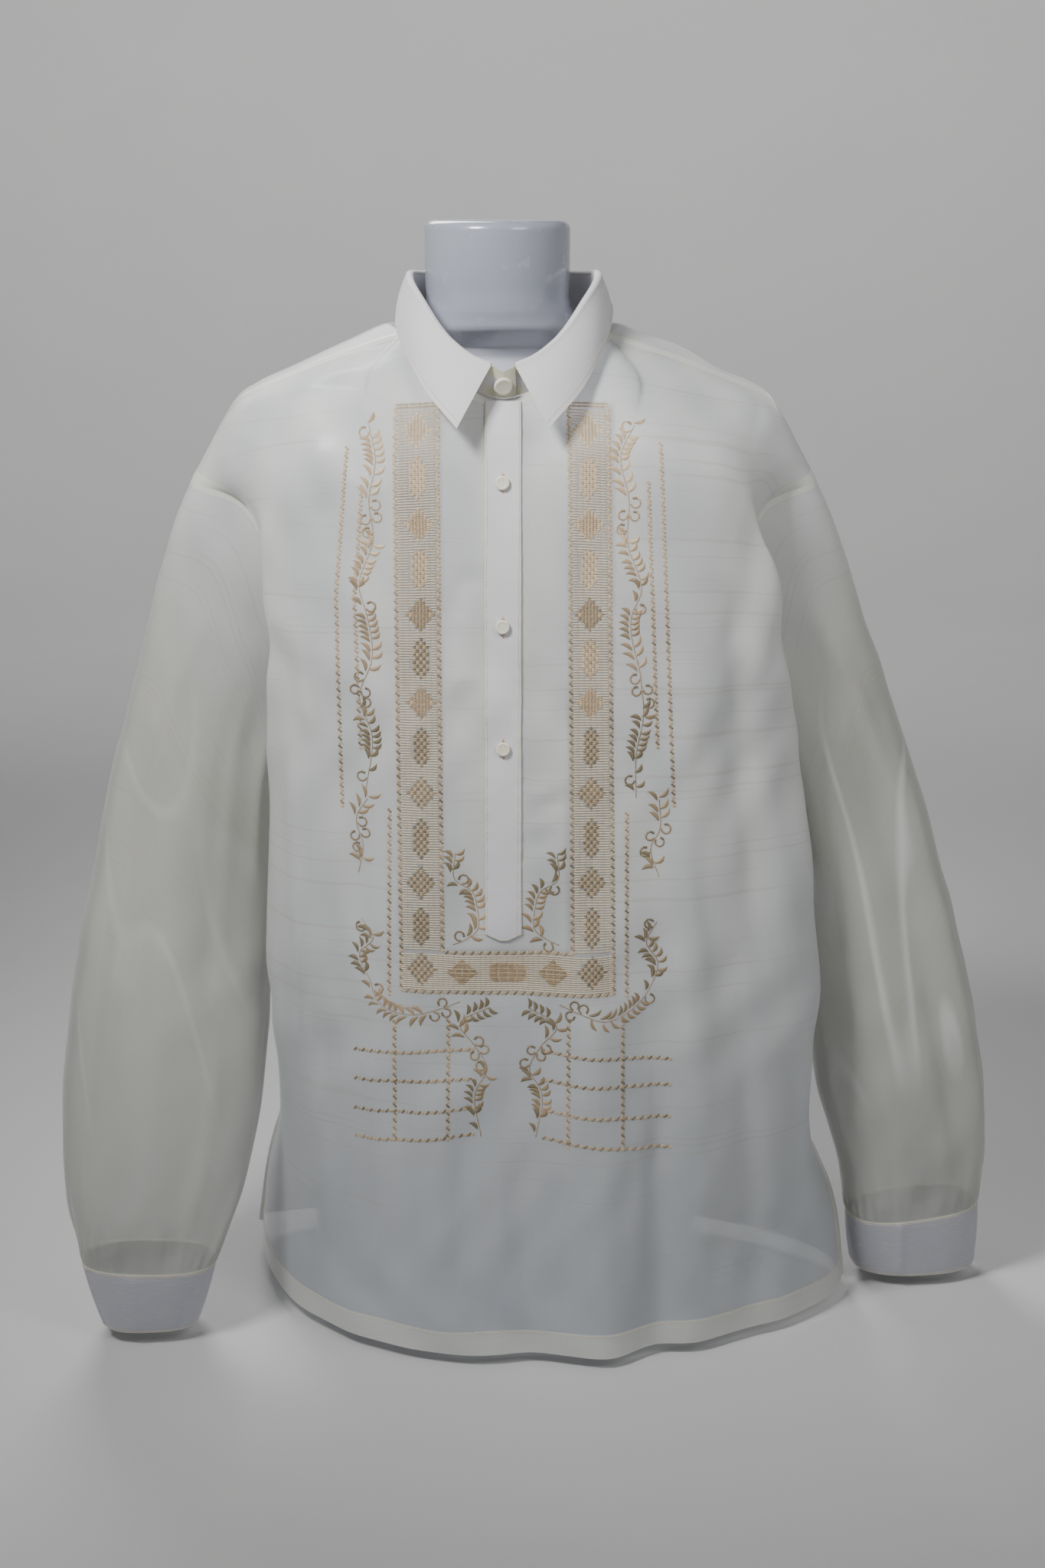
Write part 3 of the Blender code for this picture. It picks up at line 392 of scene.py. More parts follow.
BACK_RIGHT = (
    Half(0.287, 0.004, 0.012, 0.000, 2.0, 0.000),
    Half(0.276, 0.002, 0.090, 0.000, 2.1, 0.000),
    Half(0.232, 0.000, 0.190, 0.240, 2.4, 0.000),
    Half(0.220, 0.005, 0.300, 0.228, 2.6, 0.000),
    Half(0.206, 0.010, 0.400, 0.214, 2.8, 0.000),
    Half(0.190, 0.010, 0.470, 0.202, 2.8, 0.000),
    Half(0.180, 0.034, 0.530, 0.196, 3.0, 0.000),
    Half(0.184, 0.052, 0.605, 0.194, 3.0, 0.010),
    Half(0.206, 0.050, 0.678, 0.000, 3.0, 0.034),
)
# Soft folds that run down the front and the back: ridges above zero, troughs below
FRONT_FOLDS = (
    Fold(-0.150, -0.150, 0.70, 0.25, 0.004, 0.018),
    Fold(-0.118, -0.125, 0.55, 0.02, -0.004, 0.016),
    Fold(-0.060, -0.055, 0.30, -0.05, 0.004, 0.022),
    Fold(0.015, 0.020, 0.26, -0.05, -0.004, 0.020),
    Fold(0.060, 0.084, 0.40, -0.07, 0.014, 0.028),
    Fold(0.118, 0.128, 0.30, -0.05, -0.003, 0.013),
    Fold(0.140, 0.158, 0.62, -0.05, 0.005, 0.018),
    Fold(0.175, 0.205, 0.66, 0.02, -0.005, 0.016),
    Fold(0.060, 0.050, 0.72, 0.50, -0.003, 0.016),
    Fold(-0.052, -0.048, 0.70, 0.52, -0.003, 0.016),
)
BACK_FOLDS = (
    Fold(-0.120, -0.140, 0.66, 0.02, 0.006, 0.020),
    Fold(-0.060, -0.075, 0.50, -0.05, -0.005, 0.022),
    Fold(0.000, -0.005, 0.36, -0.05, 0.006, 0.026),
    Fold(0.055, 0.080, 0.44, -0.05, -0.005, 0.020),
    Fold(0.110, 0.140, 0.68, -0.05, 0.006, 0.022),
    Fold(0.160, 0.205, 0.60, 0.02, -0.004, 0.018),
)

# Finer creases of the front, from a high end to a low end: pulls beside the placket, drags from
# the shoulders and armholes, and soft lines above the hem
FRONT_CREASES = (
    Crease(0.014, 0.466, 0.058, 0.474, 0.0022, 0.0050),
    Crease(0.014, 0.457, 0.052, 0.462, -0.0024, 0.0040),
    Crease(0.015, 0.446, 0.046, 0.444, 0.0016, 0.0045),
    Crease(0.015, 0.436, 0.042, 0.431, -0.0016, 0.0045),
    Crease(0.015, 0.418, 0.040, 0.410, 0.0010, 0.0050),
    Crease(-0.016, 0.640, -0.044, 0.600, -0.0016, 0.0090),
    Crease(-0.016, 0.560, -0.046, 0.545, 0.0014, 0.0080),
    Crease(-0.016, 0.470, -0.044, 0.462, 0.0012, 0.0070),
    Crease(-0.200, 0.690, -0.160, 0.560, 0.0022, 0.0110),
    Crease(-0.176, 0.640, -0.150, 0.470, -0.0022, 0.0100),
    Crease(-0.160, 0.520, -0.158, 0.250, 0.0018, 0.0080),
    Crease(-0.140, 0.430, -0.146, 0.120, -0.0018, 0.0090),
    Crease(-0.100, 0.260, -0.104, 0.040, 0.0020, 0.0100),
    Crease(-0.034, 0.220, -0.030, 0.030, -0.0020, 0.0090),
    Crease(0.000, 0.180, 0.004, 0.020, 0.0014, 0.0080),
    Crease(0.042, 0.170, 0.046, 0.030, -0.0022, 0.0100),
    Crease(0.104, 0.240, 0.110, 0.040, 0.0018, 0.0090),
    Crease(0.146, 0.560, 0.176, 0.200, -0.0020, 0.0110),
    Crease(0.176, 0.520, 0.214, 0.060, 0.0022, 0.0100),
    Crease(0.200, 0.680, 0.166, 0.560, -0.0020, 0.0110),
    Crease(0.214, 0.670, 0.186, 0.520, 0.0018, 0.0090),
    Crease(0.226, 0.260, 0.244, 0.060, -0.0018, 0.0110),
    Crease(0.092, 0.745, 0.150, 0.660, 0.0012, 0.0120),
    Crease(-0.096, 0.745, -0.150, 0.655, -0.0012, 0.0120),
)
BACK_CREASES = (
    Crease(-0.190, 0.680, -0.140, 0.540, 0.0022, 0.0120),
    Crease(0.190, 0.680, 0.150, 0.530, 0.0022, 0.0120),
    Crease(-0.100, 0.640, -0.112, 0.300, -0.0020, 0.0110),
    Crease(-0.030, 0.560, -0.026, 0.200, 0.0018, 0.0120),
    Crease(0.030, 0.480, 0.040, 0.090, -0.0020, 0.0100),
    Crease(0.090, 0.600, 0.112, 0.220, 0.0022, 0.0110),
    Crease(-0.085, 0.300, -0.100, 0.040, 0.0020, 0.0100),
    Crease(0.150, 0.420, 0.180, 0.060, -0.0022, 0.0110),
    Crease(0.010, 0.740, 0.060, 0.620, -0.0014, 0.0130),
    Crease(-0.010, 0.740, -0.066, 0.610, -0.0014, 0.0130),
)

NECK_HALF = 0.078
NECK_SIDE_Y = -0.022
NECK_FRONT = (-0.092, 0.762)
NECK_BACK = (0.072, 0.830)
NECK_SEAM_DROP = 0.009
FINE = 5
NECK_COLUMNS = 7 * FINE
SHOULDER_COLUMNS = 10 * FINE
STEPS = np.array((3, 2, 2, 2, 2, 3, 3, 3, 3, 3)) * FINE
ROW_AT = np.concatenate([[0.0]] + [k + np.arange(1, n + 1) / n for k, n in enumerate(STEPS)])
UNDERARM_ROW = int(np.argmin(np.abs(ROW_AT - 5.0)))
VENT_TOP = 1.8
VENT_TOP_Z = 0.17
FOLD_START = 0.70
SHELL = 0.0006
HEM_DEPTH = 0.020
VENT_FACING = 0.019
SEAM_ALLOWANCE = 0.0075


def column(rows, name):
    return np.array([getattr(row, name) for row in rows], dtype=float)


def curve_through(knots, values, at):
    """A smooth curve through the values at the knots, read at other places."""
    knots = np.asarray(knots, dtype=float)
    values = np.asarray(values, dtype=float)
    slopes = np.empty_like(values)
    steps = (values[1:].T - values[:-1].T) / (knots[1:] - knots[:-1])
    steps = steps.T
    slopes[0] = steps[0]
    slopes[-1] = steps[-1]
    before = (knots[1:-1] - knots[:-2]).reshape((-1,) + (1,) * (values.ndim - 1))
    after = (knots[2:] - knots[1:-1]).reshape(before.shape)
    slopes[1:-1] = (steps[:-1] * after + steps[1:] * before) / (before + after)
    at = np.asarray(at, dtype=float)
    low = np.clip(np.searchsorted(knots, at, side="right") - 1, 0, len(knots) - 2)
    width = knots[low + 1] - knots[low]
    part = (at - knots[low]) / width
    shape = at.shape + (1,) * (values.ndim - 1)
    part = part.reshape(shape)
    width = width.reshape(shape)
    start = values[low] * (2 * part**3 - 3 * part**2 + 1)
    end = values[low + 1] * (3 * part**2 - 2 * part**3)
    leave = slopes[low] * width * (part**3 - 2 * part**2 + part)
    arrive = slopes[low + 1] * width * (part**3 - part**2)
    return start + end + leave + arrive


def evenly(points, count):
    """The polyline's points again, at equal distances along it."""
    lengths = np.linalg.norm(np.diff(points, axis=0), axis=1)
    along = np.concatenate([[0.0], np.cumsum(lengths)])
    marks = np.linspace(0.0, along[-1], count + 1)
    return np.stack([np.interp(marks, along, points[:, axis]) for axis in range(3)], axis=1)


def unit(vectors):
    return vectors / np.maximum(np.linalg.norm(vectors, axis=-1, keepdims=True), 1e-12)


def half_row(side, middle, half):
    """Half a section, from the middle of the panel to its side edge."""
    turn = np.linspace(0.0, math.pi / 2, 161)
    part = turn / (math.pi / 2)
    widest = max(half.fold, half.edge_x)
    spread = widest
    for _ in range(12):
        across = spread * np.sin(turn) ** (2.0 / half.square)
        across -= (spread - half.edge_x) * smooth((part - FOLD_START) / (1.0 - FOLD_START))
        spread *= widest / across.max()
    depth = half.edge_y + (middle.y - half.edge_y) * np.abs(np.cos(turn)) ** (2.0 / half.square)
    share = across / across.max()
    height = middle.z + (half.edge_z - middle.z) * part**3
    height += half.lift * np.sin(math.pi * np.clip(share, 0.0, 1.0) ** 1.3)
    row = np.stack([side * across, depth, height], axis=1)
    return evenly(row, NECK_COLUMNS + SHOULDER_COLUMNS)


def shoulder_z(x):
    return curve_through(column(SHOULDER, "x"), column(SHOULDER, "z"), x)


def shoulder_row(side, neck_half, neck_mid, y_in, y_out, drop_in, drop_out, rise):
    """Half a row that goes round the neck and then along the shoulder."""
    turn = np.linspace(0.0, math.pi / 2, 81)
    side_z = shoulder_z(np.array([neck_half]))[0] - drop_in
    across = neck_half * np.sin(turn)
    depth = y_in + (neck_mid[0] - y_in) * np.cos(turn)
    height = neck_mid[1] + (side_z - neck_mid[1]) * np.sin(turn) ** rise
    neck = evenly(np.stack([across, depth, height], axis=1), NECK_COLUMNS)
    across = np.linspace(neck_half, SHOULDER[-1].x, 81)
    part = (across - neck_half) / (SHOULDER[-1].x - neck_half)
    height = shoulder_z(across) - drop_in - (drop_out - drop_in) * part
    depth = y_in + (y_out - y_in) * part
    ridge = evenly(np.stack([across, depth, height], axis=1), SHOULDER_COLUMNS)
    row = np.concatenate([neck, ridge[1:]])
    row[:, 0] *= side
    return row


def whole_row(left, right):
    return np.concatenate([left[:0:-1], right])


SEAM_ROW = dict(neck_half=NECK_HALF, y_in=NECK_SIDE_Y, y_out=-0.006, drop_in=NECK_SEAM_DROP,
                drop_out=0.0)


def front_sections():
    rows = []
    for middle, left, right in zip(FRONT_MIDDLE, FRONT_LEFT, FRONT_RIGHT):
        rows.append(whole_row(half_row(-1, middle, left), half_row(1, middle, right)))
    below = dict(neck_half=0.102, neck_mid=(-0.104, 0.741), y_in=-0.058, y_out=-0.036,
                 drop_in=0.028, drop_out=0.008, rise=2.0)
    rows.append(whole_row(shoulder_row(-1, **below), shoulder_row(1, **below)))
    top = dict(SEAM_ROW, neck_mid=NECK_FRONT, rise=1.6)
    rows.append(whole_row(shoulder_row(-1, **top), shoulder_row(1, **top)))
    return np.array(rows)


def back_sections():
    rows = []
    for middle, left, right in zip(BACK_MIDDLE, BACK_LEFT, BACK_RIGHT):
        rows.append(whole_row(half_row(-1, middle, left), half_row(1, middle, right)))
    below = dict(neck_half=0.090, neck_mid=(0.085, 0.812), y_in=0.003, y_out=0.012,
                 drop_in=0.0, drop_out=0.0012, rise=2.0)
    rows.append(whole_row(shoulder_row(-1, **below), shoulder_row(1, **below)))
    top = dict(SEAM_ROW, neck_mid=NECK_BACK, rise=2.0)
    rows.append(whole_row(shoulder_row(-1, **top), shoulder_row(1, **top)))
    return np.array(rows)


def grid_normals(grid, facing, closed=False):
    """Normals of a grid of points, turned to the side that faces outwards."""
    down = np.gradient(grid, axis=0)
    if closed:
        across = (np.roll(grid, -1, axis=1) - np.roll(grid, 1, axis=1)) / 2.0
    else:
        across = np.gradient(grid, axis=1)
    return unit(np.cross(across, down)) * facing


def crease_lift(grid, creases):
    """How far the creases raise or sink each point: soft ridges that fade at both ends."""
    lift = np.zeros(grid.shape[:2])
    for crease in creases:
        start = np.array([crease.x_from, crease.z_from])
        run = np.array([crease.x_to, crease.z_to]) - start
        away = grid[..., (0, 2)] - start
        along = (away @ run) / (run @ run)
        off = (away[..., 0] * run[1] - away[..., 1] * run[0]) / np.linalg.norm(run)
        wander = crease.width * 0.5 * np.sin(along * 5.0 + crease.x_from * 40.0)
        fade = smooth(along / 0.25) * smooth((1.0 - along) / 0.30)
        lift += crease.height * fade * np.exp(-(((off - wander) / crease.width) ** 2))
    return lift


def slackness(grid):
    """The slight unevenness of cloth that isn't stretched."""
    x, z = grid[..., 0], grid[..., 2]
    wide, close = 71.0 * x + 9.0 * np.sin(11.0 * z) + 2.0, 133.0 * x + 6.0 * np.sin(17.0 * z + 1.0)
    level = 43.0 * z + 7.0 * np.sin(13.0 * x + 0.5)
    waves = 0.00120 * np.sin(wide) * np.sin(19.0 * z + 8.0 * x + 1.0)
    waves += 0.00070 * np.sin(close) * np.sin(14.0 * z - 11.0 * x)
    waves += 0.00060 * np.sin(level) * np.sin(16.0 * x + 5.0 * z + 2.0)
    return waves


def drift(points, pitch, start):
    """Smooth uneven values from 0 to 1 over the cloth, by the pitch of their waves across and down."""
    x, y, z = points[..., 0] / pitch[0], points[..., 1] / pitch[0], points[..., 2] / pitch[1]
    across, down = x + 1.7 * np.sin(0.8 * z + start), z + 1.3 * np.sin(0.7 * x + y + 2.0 * start)
    slanted = 1.7 * x - y + 1.5 * np.sin(1.3 * z + start)
    waves = np.sin(across) * np.sin(down) + 0.6 * np.sin(slanted) * np.sin(1.9 * z + x)
    return 0.5 + waves / 3.2


def panel_grid(sections, folds, creases, facing):
    """The panel's outer surface: sections joined by smooth columns, with its folds and creases."""
    knots = np.linalg.norm(np.diff(sections, axis=0), axis=2).mean(axis=1)
    knots = np.concatenate([[0.0], np.cumsum(knots)])
    marks = np.interp(ROW_AT, np.arange(len(knots)), knots)
    grid = curve_through(knots, sections, marks)
    normals = grid_normals(grid, facing)
    inside = np.minimum(np.arange(grid.shape[1]), np.arange(grid.shape[1])[::-1])
    down = np.arange(len(ROW_AT))[::-1]
    calm = smooth(inside / (4.0 * FINE))[None, :] * smooth(down / (5.0 * FINE))[:, None]
    height = grid[..., 2]
    lift = crease_lift(grid, creases) + slackness(grid)
    for fold in folds:
        part = np.clip((fold.z_top - height) / (fold.z_top - fold.z_low), 0.0, 1.0)
        middle = fold.x_top + (fold.x_low - fold.x_top) * part
        shape = np.exp(-(((grid[..., 0] - middle) / fold.width) ** 2))
        length = smooth((fold.z_top - height) / 0.12) * smooth((height - fold.z_low) / 0.08)
        lift += fold.height * shape * length
    return grid + normals * (lift * calm)[..., None]


def lengths(grid, axis):
    """Distance along each row or column of a grid, from its first point."""
    steps = np.linalg.norm(np.diff(grid, axis=axis), axis=2)
    start = np.zeros((1, grid.shape[1])) if axis == 0 else np.zeros((grid.shape[0], 1))
    return np.concatenate([start, np.cumsum(steps, axis=axis)], axis=axis)


def cloth_shell(name, outer, inner, stored, material, closed=False):
    """A thin closed wall between two grids of points, with numbers kept on its points."""
    rows, columns = outer.shape[:2]
    skin = rows * columns
    spans = columns if closed else columns - 1
    i, j = np.meshgrid(np.arange(rows - 1), np.arange(spans), indexing="ij")
    a, b = i * columns + j, i * columns + (j + 1) % columns
    quads = np.stack([a, b, b + columns, a + columns], axis=-1).reshape(-1, 4)
    faces = [quads, (quads + skin)[:, ::-1]]
    for i in (0, rows - 1):
        a, b = i * columns + np.arange(spans), i * columns + (np.arange(spans) + 1) % columns
        rim = np.stack([a, a + skin, b + skin, b], axis=-1)
        faces.append(rim if i == 0 else rim[:, ::-1])
    if not closed:
        for j in (0, columns - 1):
            a = np.arange(rows - 1) * columns + j
            rim = np.stack([a, a + columns, a + columns + skin, a + skin], axis=-1)
            faces.append(rim if j == 0 else rim[:, ::-1])
    points = np.concatenate([outer.reshape(-1, 3), inner.reshape(-1, 3)])
    made = mesh_object(name, points, np.concatenate(faces).tolist(), material)
    middle = quads[len(quads) // 2]
    facing = np.cross(points[middle[1]] - points[middle[0]], points[middle[3]] - points[middle[0]])
    if facing @ (points[middle[0]] - points[middle[0] + skin]) < 0:
        made.data.flip_normals()
    made.data.set_sharp_from_angle(angle=math.radians(60))
    for key, values in stored.items():
        kept = made.data.attributes.new(key, "FLOAT", "POINT")
        values = np.broadcast_to(values, (rows, columns)).reshape(-1)
        kept.data.foreach_set("value", np.concatenate([values, values]).astype(np.float32))
    return made


# Pitches across and down of the painted sheen streaks and of the painted moiré lines, and how many moiré
# lines each wave holds
PAINTED_SHEEN_PITCH = (0.015, 0.080)
LOOP_PITCH = (0.030, 0.125)
LOOPS = 5.0


def sheer_cloth():
    """Ivory plain weave with slubs across it. Turned cloth lies double and looks creamier. Its colour also
    holds painted light: shade towards the hem, in the sleeves and in the drawn-thread ground, sheen
    streaks and moiré lines.
    """
    made = Finish("sheer_ivory_weave")
    across, along = made.stored("across"), made.stored("along")
    flat = made.node("ShaderNodeCombineXYZ", {}, {"X": across, "Y": along})
    place = made.place()
    # Painted sheen: the colour has lighter and darker streaks for the silk's sheen along soft folds; the
    # same drift also varies the roughness.
    cloudy = made.stored("cloudy")
    colour = made.mix((0.71, 0.73, 0.72), (0.82, 0.82, 0.79), made.step(cloudy, 0.15, 0.85))
    # Painted shade: the cloth is coloured darker and bluer towards the hem, for the light that falls off
    # lower down.
    height = made.node("ShaderNodeSeparateXYZ", {}, {"Vector": place}, "Z")
    colour = made.mix((0.44, 0.47, 0.52), colour, made.step(height, 0.02, 0.52) * 0.75 + 0.25)
    # Painted shade: by the kept 'empty' share the sleeves are coloured darker and warmer away from the
    # armhole, for the shade inside the hollow sleeves; it also makes them a little more see-through.
    colour = made.mix(colour, (0.46, 0.455, 0.39), made.stored("empty") * 0.62)
    slub = made.noise(made.stretched(flat, (9.0, 620.0, 1.0)), 1.0, 1.0)
    slubs = made.step(slub, 0.63, 0.72)
    long_slub = made.noise(made.stretched(flat, (3.0, 260.0, 1.0)), 1.0, 0.0)
    long_slubs = made.step(long_slub, 0.70, 0.74)
    threads = made.noise(made.stretched(flat, (700.0, 60.0, 1.0)), 1.0, 0.0)
    colour = made.mix(colour, (0.50, 0.48, 0.39), slubs * 0.16 + long_slubs * 0.24)
    layers = made.step(made.stored("turned"), -0.0004, 0.0004)
    double = layers * (0.50 + slub * 0.4)
    colour = made.mix(colour, (0.76, 0.74, 0.63), double * 0.60)
    # Painted shade: the drawn-thread ground is coloured darker grey for the shade seen through its opened
    # weave; it is also made more see-through below.
    drawn = made.stored("openwork")
    colour = made.mix(colour, (0.52, 0.50, 0.45), drawn * 0.62)
    # Painted moiré: thin light lines, with painted shade beside them, stand in for the shimmer where two
    # sheer layers overlap; the light lines are also less see-through.
    lines = made.node("ShaderNodeMath", {"operation": "PINGPONG"}, {0: made.stored("phase"), 1: 1.0})
    loose = made.stored("loops")
    moire = made.step(lines, 0.70, 1.0) * loose
    colour = made.mix(colour, (0.90, 0.92, 0.92), moire * 0.36)
    colour = made.mix(colour, (0.52, 0.53, 0.50), made.step(lines, 0.45, 0.0) * loose * 0.26)
    alpha = 0.52 + layers * 0.22 - drawn * 0.12 - made.stored("empty") * 0.04 + moire * 0.16
    height = threads * 0.5 + slub * 0.5
    made.finish(
        Base_Color=colour, Alpha=alpha, Roughness=0.32 + cloudy * 0.16,
        Sheen_Weight=0.55, Sheen_Roughness=0.30, Specular_IOR_Level=0.50,
        Normal=made.bump(height, 0.00030, 0.6))
    return made.material


def panel_piece(name, grid, facing, node):
    """A panel as a thin shell, with its hem, side seams, vents and shoulder seam kept on it."""
    from_hem = lengths(grid, 0)
    down = lengths(grid[::-1], 0)[::-1]
    middle = grid.shape[1] // 2
    across = lengths(grid, 1)
    from_side = np.minimum(across, across[:, -1:] - across)
    vent = (grid[..., 2] < VENT_TOP_Z) & (np.arange(len(grid))[:, None] < UNDERARM_ROW)
    side = np.where(vent, VENT_FACING, SEAM_ALLOWANCE) - from_side
    shoulder = (SEAM_ALLOWANCE if facing > 0 else 0.5 * SEAM_ALLOWANCE) - down
    turned = np.maximum(np.maximum(HEM_DEPTH - from_hem, side), shoulder)
    x, z = grid[..., 0], grid[..., 2]
    band = smooth((0.0185 - np.abs(np.abs(x - 0.0015) - 0.0645)) / 0.004) * smooth((z - 0.309) / 0.004)
    foot = smooth((0.016 - np.abs(z - 0.3275)) / 0.004) * smooth((0.0825 - np.abs(x - 0.002)) / 0.004)
    drawn = np.maximum(band * smooth((0.760 - z) / 0.004), foot) * (facing > 0)
    stored = {"across": across - across[:, middle : middle + 1], "along": from_hem,
              "turned": turned, "loops": 0.0, "openwork": drawn, "empty": 0.0,
              "cloudy": drift(grid, PAINTED_SHEEN_PITCH, 1.0), "phase": drift(grid, LOOP_PITCH, 4.0) * LOOPS}
    normals = grid_normals(grid, facing)
    made = cloth_shell(name, grid, grid - normals * SHELL, stored, sheer_weave)
    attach(made, "root")
    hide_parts(node)
    return made


front = panel_grid(front_sections(), FRONT_FOLDS, FRONT_CREASES, 1.0)
back = panel_grid(back_sections(), BACK_FOLDS, BACK_CREASES, -1.0)
last = front.shape[1] - 1
for j in (0, last):
    seam = (front[: UNDERARM_ROW + 1, j] + back[: UNDERARM_ROW + 1, j]) / 2
    front[: UNDERARM_ROW + 1, j] = seam
    back[: UNDERARM_ROW + 1, j] = seam
open_by = 0.006 * smooth((VENT_TOP - ROW_AT) / VENT_TOP)
for j, side in ((0, -1.0), (last, 1.0)):
    front[:, j, 1] -= open_by * 0.5
    front[:, j, 0] += side * open_by * 0.4
    back[:, j, 1] += open_by

sheer_weave = sheer_cloth()
shirt_front = panel_piece("shirt_front", front, 1.0, "front")
shirt_back = panel_piece("shirt_back", back, -1.0, "back")


# Sleeves: two tubes of the same weave, sewn to the dropped armholes, cut full and gathered into
# the cuffs. They hang forward a little at the wrist, with long creases and gathers below.

Arm = namedtuple("Arm", "outer_x outer_z inner_x inner_z mid_y half_depth turn square")
Pleat = namedtuple("Pleat", "angle start end height width")
SLEEVE_LEFT = (
    Arm(0.241, 0.7015, 0.160, 0.470, 0.000, 0.062, 0.0, 2.0),
    Arm(0.2610, 0.655, 0.178, 0.452, 0.003, 0.061, 0.0, 2.1),
    Arm(0.2800, 0.598, 0.184, 0.425, 0.010, 0.060, 0.0, 2.2),
    Arm(0.2990, 0.532, 0.188, 0.385, 0.014, 0.059, 3.0, 2.3),
    Arm(0.3200, 0.456, 0.191, 0.335, 0.012, 0.059, 6.0, 2.4),
    Arm(0.3370, 0.376, 0.193, 0.285, -0.002, 0.060, 9.0, 2.4),
    Arm(0.3500, 0.300, 0.196, 0.230, -0.028, 0.060, 12.0, 2.4),
    Arm(0.3580, 0.222, 0.201, 0.175, -0.052, 0.056, 14.0, 2.4),
    Arm(0.3590, 0.160, 0.211, 0.130, -0.072, 0.050, 12.0, 2.4),
    Arm(0.3540, 0.112, 0.224, 0.094, -0.086, 0.043, 8.0, 2.4),
    Arm(0.3430, 0.071, 0.235, 0.068, -0.094, 0.035, 2.0, 2.6),
)
SLEEVE_RIGHT = (
    Arm(0.241, 0.7015, 0.190, 0.470, 0.000, 0.062, 0.0, 2.0),
    Arm(0.2600, 0.660, 0.209, 0.452, 0.006, 0.060, 0.0, 2.1),
    Arm(0.2830, 0.600, 0.219, 0.425, 0.015, 0.057, 0.0, 2.2),
    Arm(0.3060, 0.536, 0.228, 0.385, 0.022, 0.055, -3.0, 2.3),
    Arm(0.3325, 0.462, 0.238, 0.335, 0.026, 0.055, -5.0, 2.4),
    Arm(0.3580, 0.382, 0.247, 0.285, 0.027, 0.056, -6.0, 2.4),
    Arm(0.3805, 0.305, 0.256, 0.230, 0.025, 0.057, -7.0, 2.4),
    Arm(0.3985, 0.225, 0.264, 0.175, 0.021, 0.056, -9.0, 2.4),
    Arm(0.4070, 0.160, 0.278, 0.130, 0.020, 0.050, -11.0, 2.4),
    Arm(0.4080, 0.112, 0.286, 0.094, 0.019, 0.043, -14.0, 2.4),
    Arm(0.4040, 0.072, 0.2905, 0.067, 0.017, 0.036, -16.0, 2.6),
)
CUFF_LEFT = Arm(0.3300, 0.0115, 0.2525, 0.0115, -0.075, 0.038, 6.0, 3.0)
CUFF_RIGHT = Arm(0.4050, 0.0115, 0.2990, 0.0115, 0.034, 0.038, -8.0, 2.4)
PLEATS_LEFT = (
    Pleat(62.0, 0.05, 0.55, -0.004, 14.0),
    Pleat(96.0, 0.20, 0.98, 0.005, 16.0),
    Pleat(128.0, 0.35, 0.90, -0.004, 13.0),
    Pleat(150.0, 0.10, 0.80, 0.003, 14.0),
    Pleat(235.0, 0.15, 0.85, -0.004, 16.0),
    Pleat(285.0, 0.30, 0.98, 0.005, 16.0),
    Pleat(30.0, 0.72, 1.10, 0.003, 9.0),
    Pleat(75.0, 0.80, 1.10, -0.003, 8.0),
    Pleat(112.0, 0.80, 1.10, 0.003, 8.0),
    Pleat(165.0, 0.78, 1.10, -0.003, 9.0),
    Pleat(255.0, 0.80, 1.10, 0.003, 9.0),
    Pleat(325.0, 0.80, 1.10, -0.003, 9.0),
)
PLEATS_RIGHT = (
    Pleat(70.0, 0.10, 0.70, 0.004, 15.0),
    Pleat(105.0, 0.25, 0.85, -0.005, 14.0),
    Pleat(132.0, 0.30, 0.98, 0.005, 14.0),
    Pleat(158.0, 0.45, 0.90, -0.003, 12.0),
    Pleat(230.0, 0.20, 0.90, 0.004, 16.0),
    Pleat(280.0, 0.15, 0.85, -0.004, 16.0),
    Pleat(50.0, 0.80, 1.10, 0.003, 9.0),
    Pleat(88.0, 0.80, 1.10, -0.003, 8.0),
    Pleat(120.0, 0.82, 1.10, 0.002, 8.0),
    Pleat(175.0, 0.80, 1.10, -0.003, 9.0),
    Pleat(260.0, 0.80, 1.10, 0.003, 9.0),
    Pleat(330.0, 0.80, 1.10, -0.003, 9.0),
)

# Narrower creases of each sleeve
CREASES_LEFT = (
    Pleat(44.0, 0.06, 0.40, 0.0022, 6.0),
    Pleat(80.0, 0.10, 0.60, -0.0022, 7.0),
    Pleat(104.0, 0.40, 0.92, -0.0020, 6.0),
    Pleat(118.0, 0.12, 0.50, 0.0022, 7.0),
    Pleat(138.0, 0.50, 0.96, 0.0020, 6.0),
    Pleat(70.0, 0.55, 0.98, 0.0018, 6.0),
    Pleat(20.0, 0.45, 0.90, -0.0020, 7.0),
    Pleat(210.0, 0.30, 0.85, 0.0022, 8.0),
    Pleat(262.0, 0.15, 0.70, -0.0022, 8.0),
    Pleat(310.0, 0.35, 0.95, 0.0022, 8.0),
)
CREASES_RIGHT = (
    Pleat(50.0, 0.06, 0.45, -0.0022, 6.0),
    Pleat(86.0, 0.12, 0.66, 0.0022, 7.0),
    Pleat(98.0, 0.48, 0.95, 0.0020, 6.0),
    Pleat(120.0, 0.10, 0.55, 0.0020, 7.0),
    Pleat(146.0, 0.40, 0.94, -0.0022, 6.0),
    Pleat(60.0, 0.60, 0.98, -0.0018, 6.0),
    Pleat(24.0, 0.40, 0.90, 0.0020, 7.0),
    Pleat(205.0, 0.30, 0.85, -0.0022, 8.0),
    Pleat(255.0, 0.15, 0.70, 0.0022, 8.0),
    Pleat(305.0, 0.35, 0.95, -0.0022, 8.0),
)
SLEEVE_ROWS = 15 * 6
GATHERS = 34
GATHER_HEIGHT = 0.0011


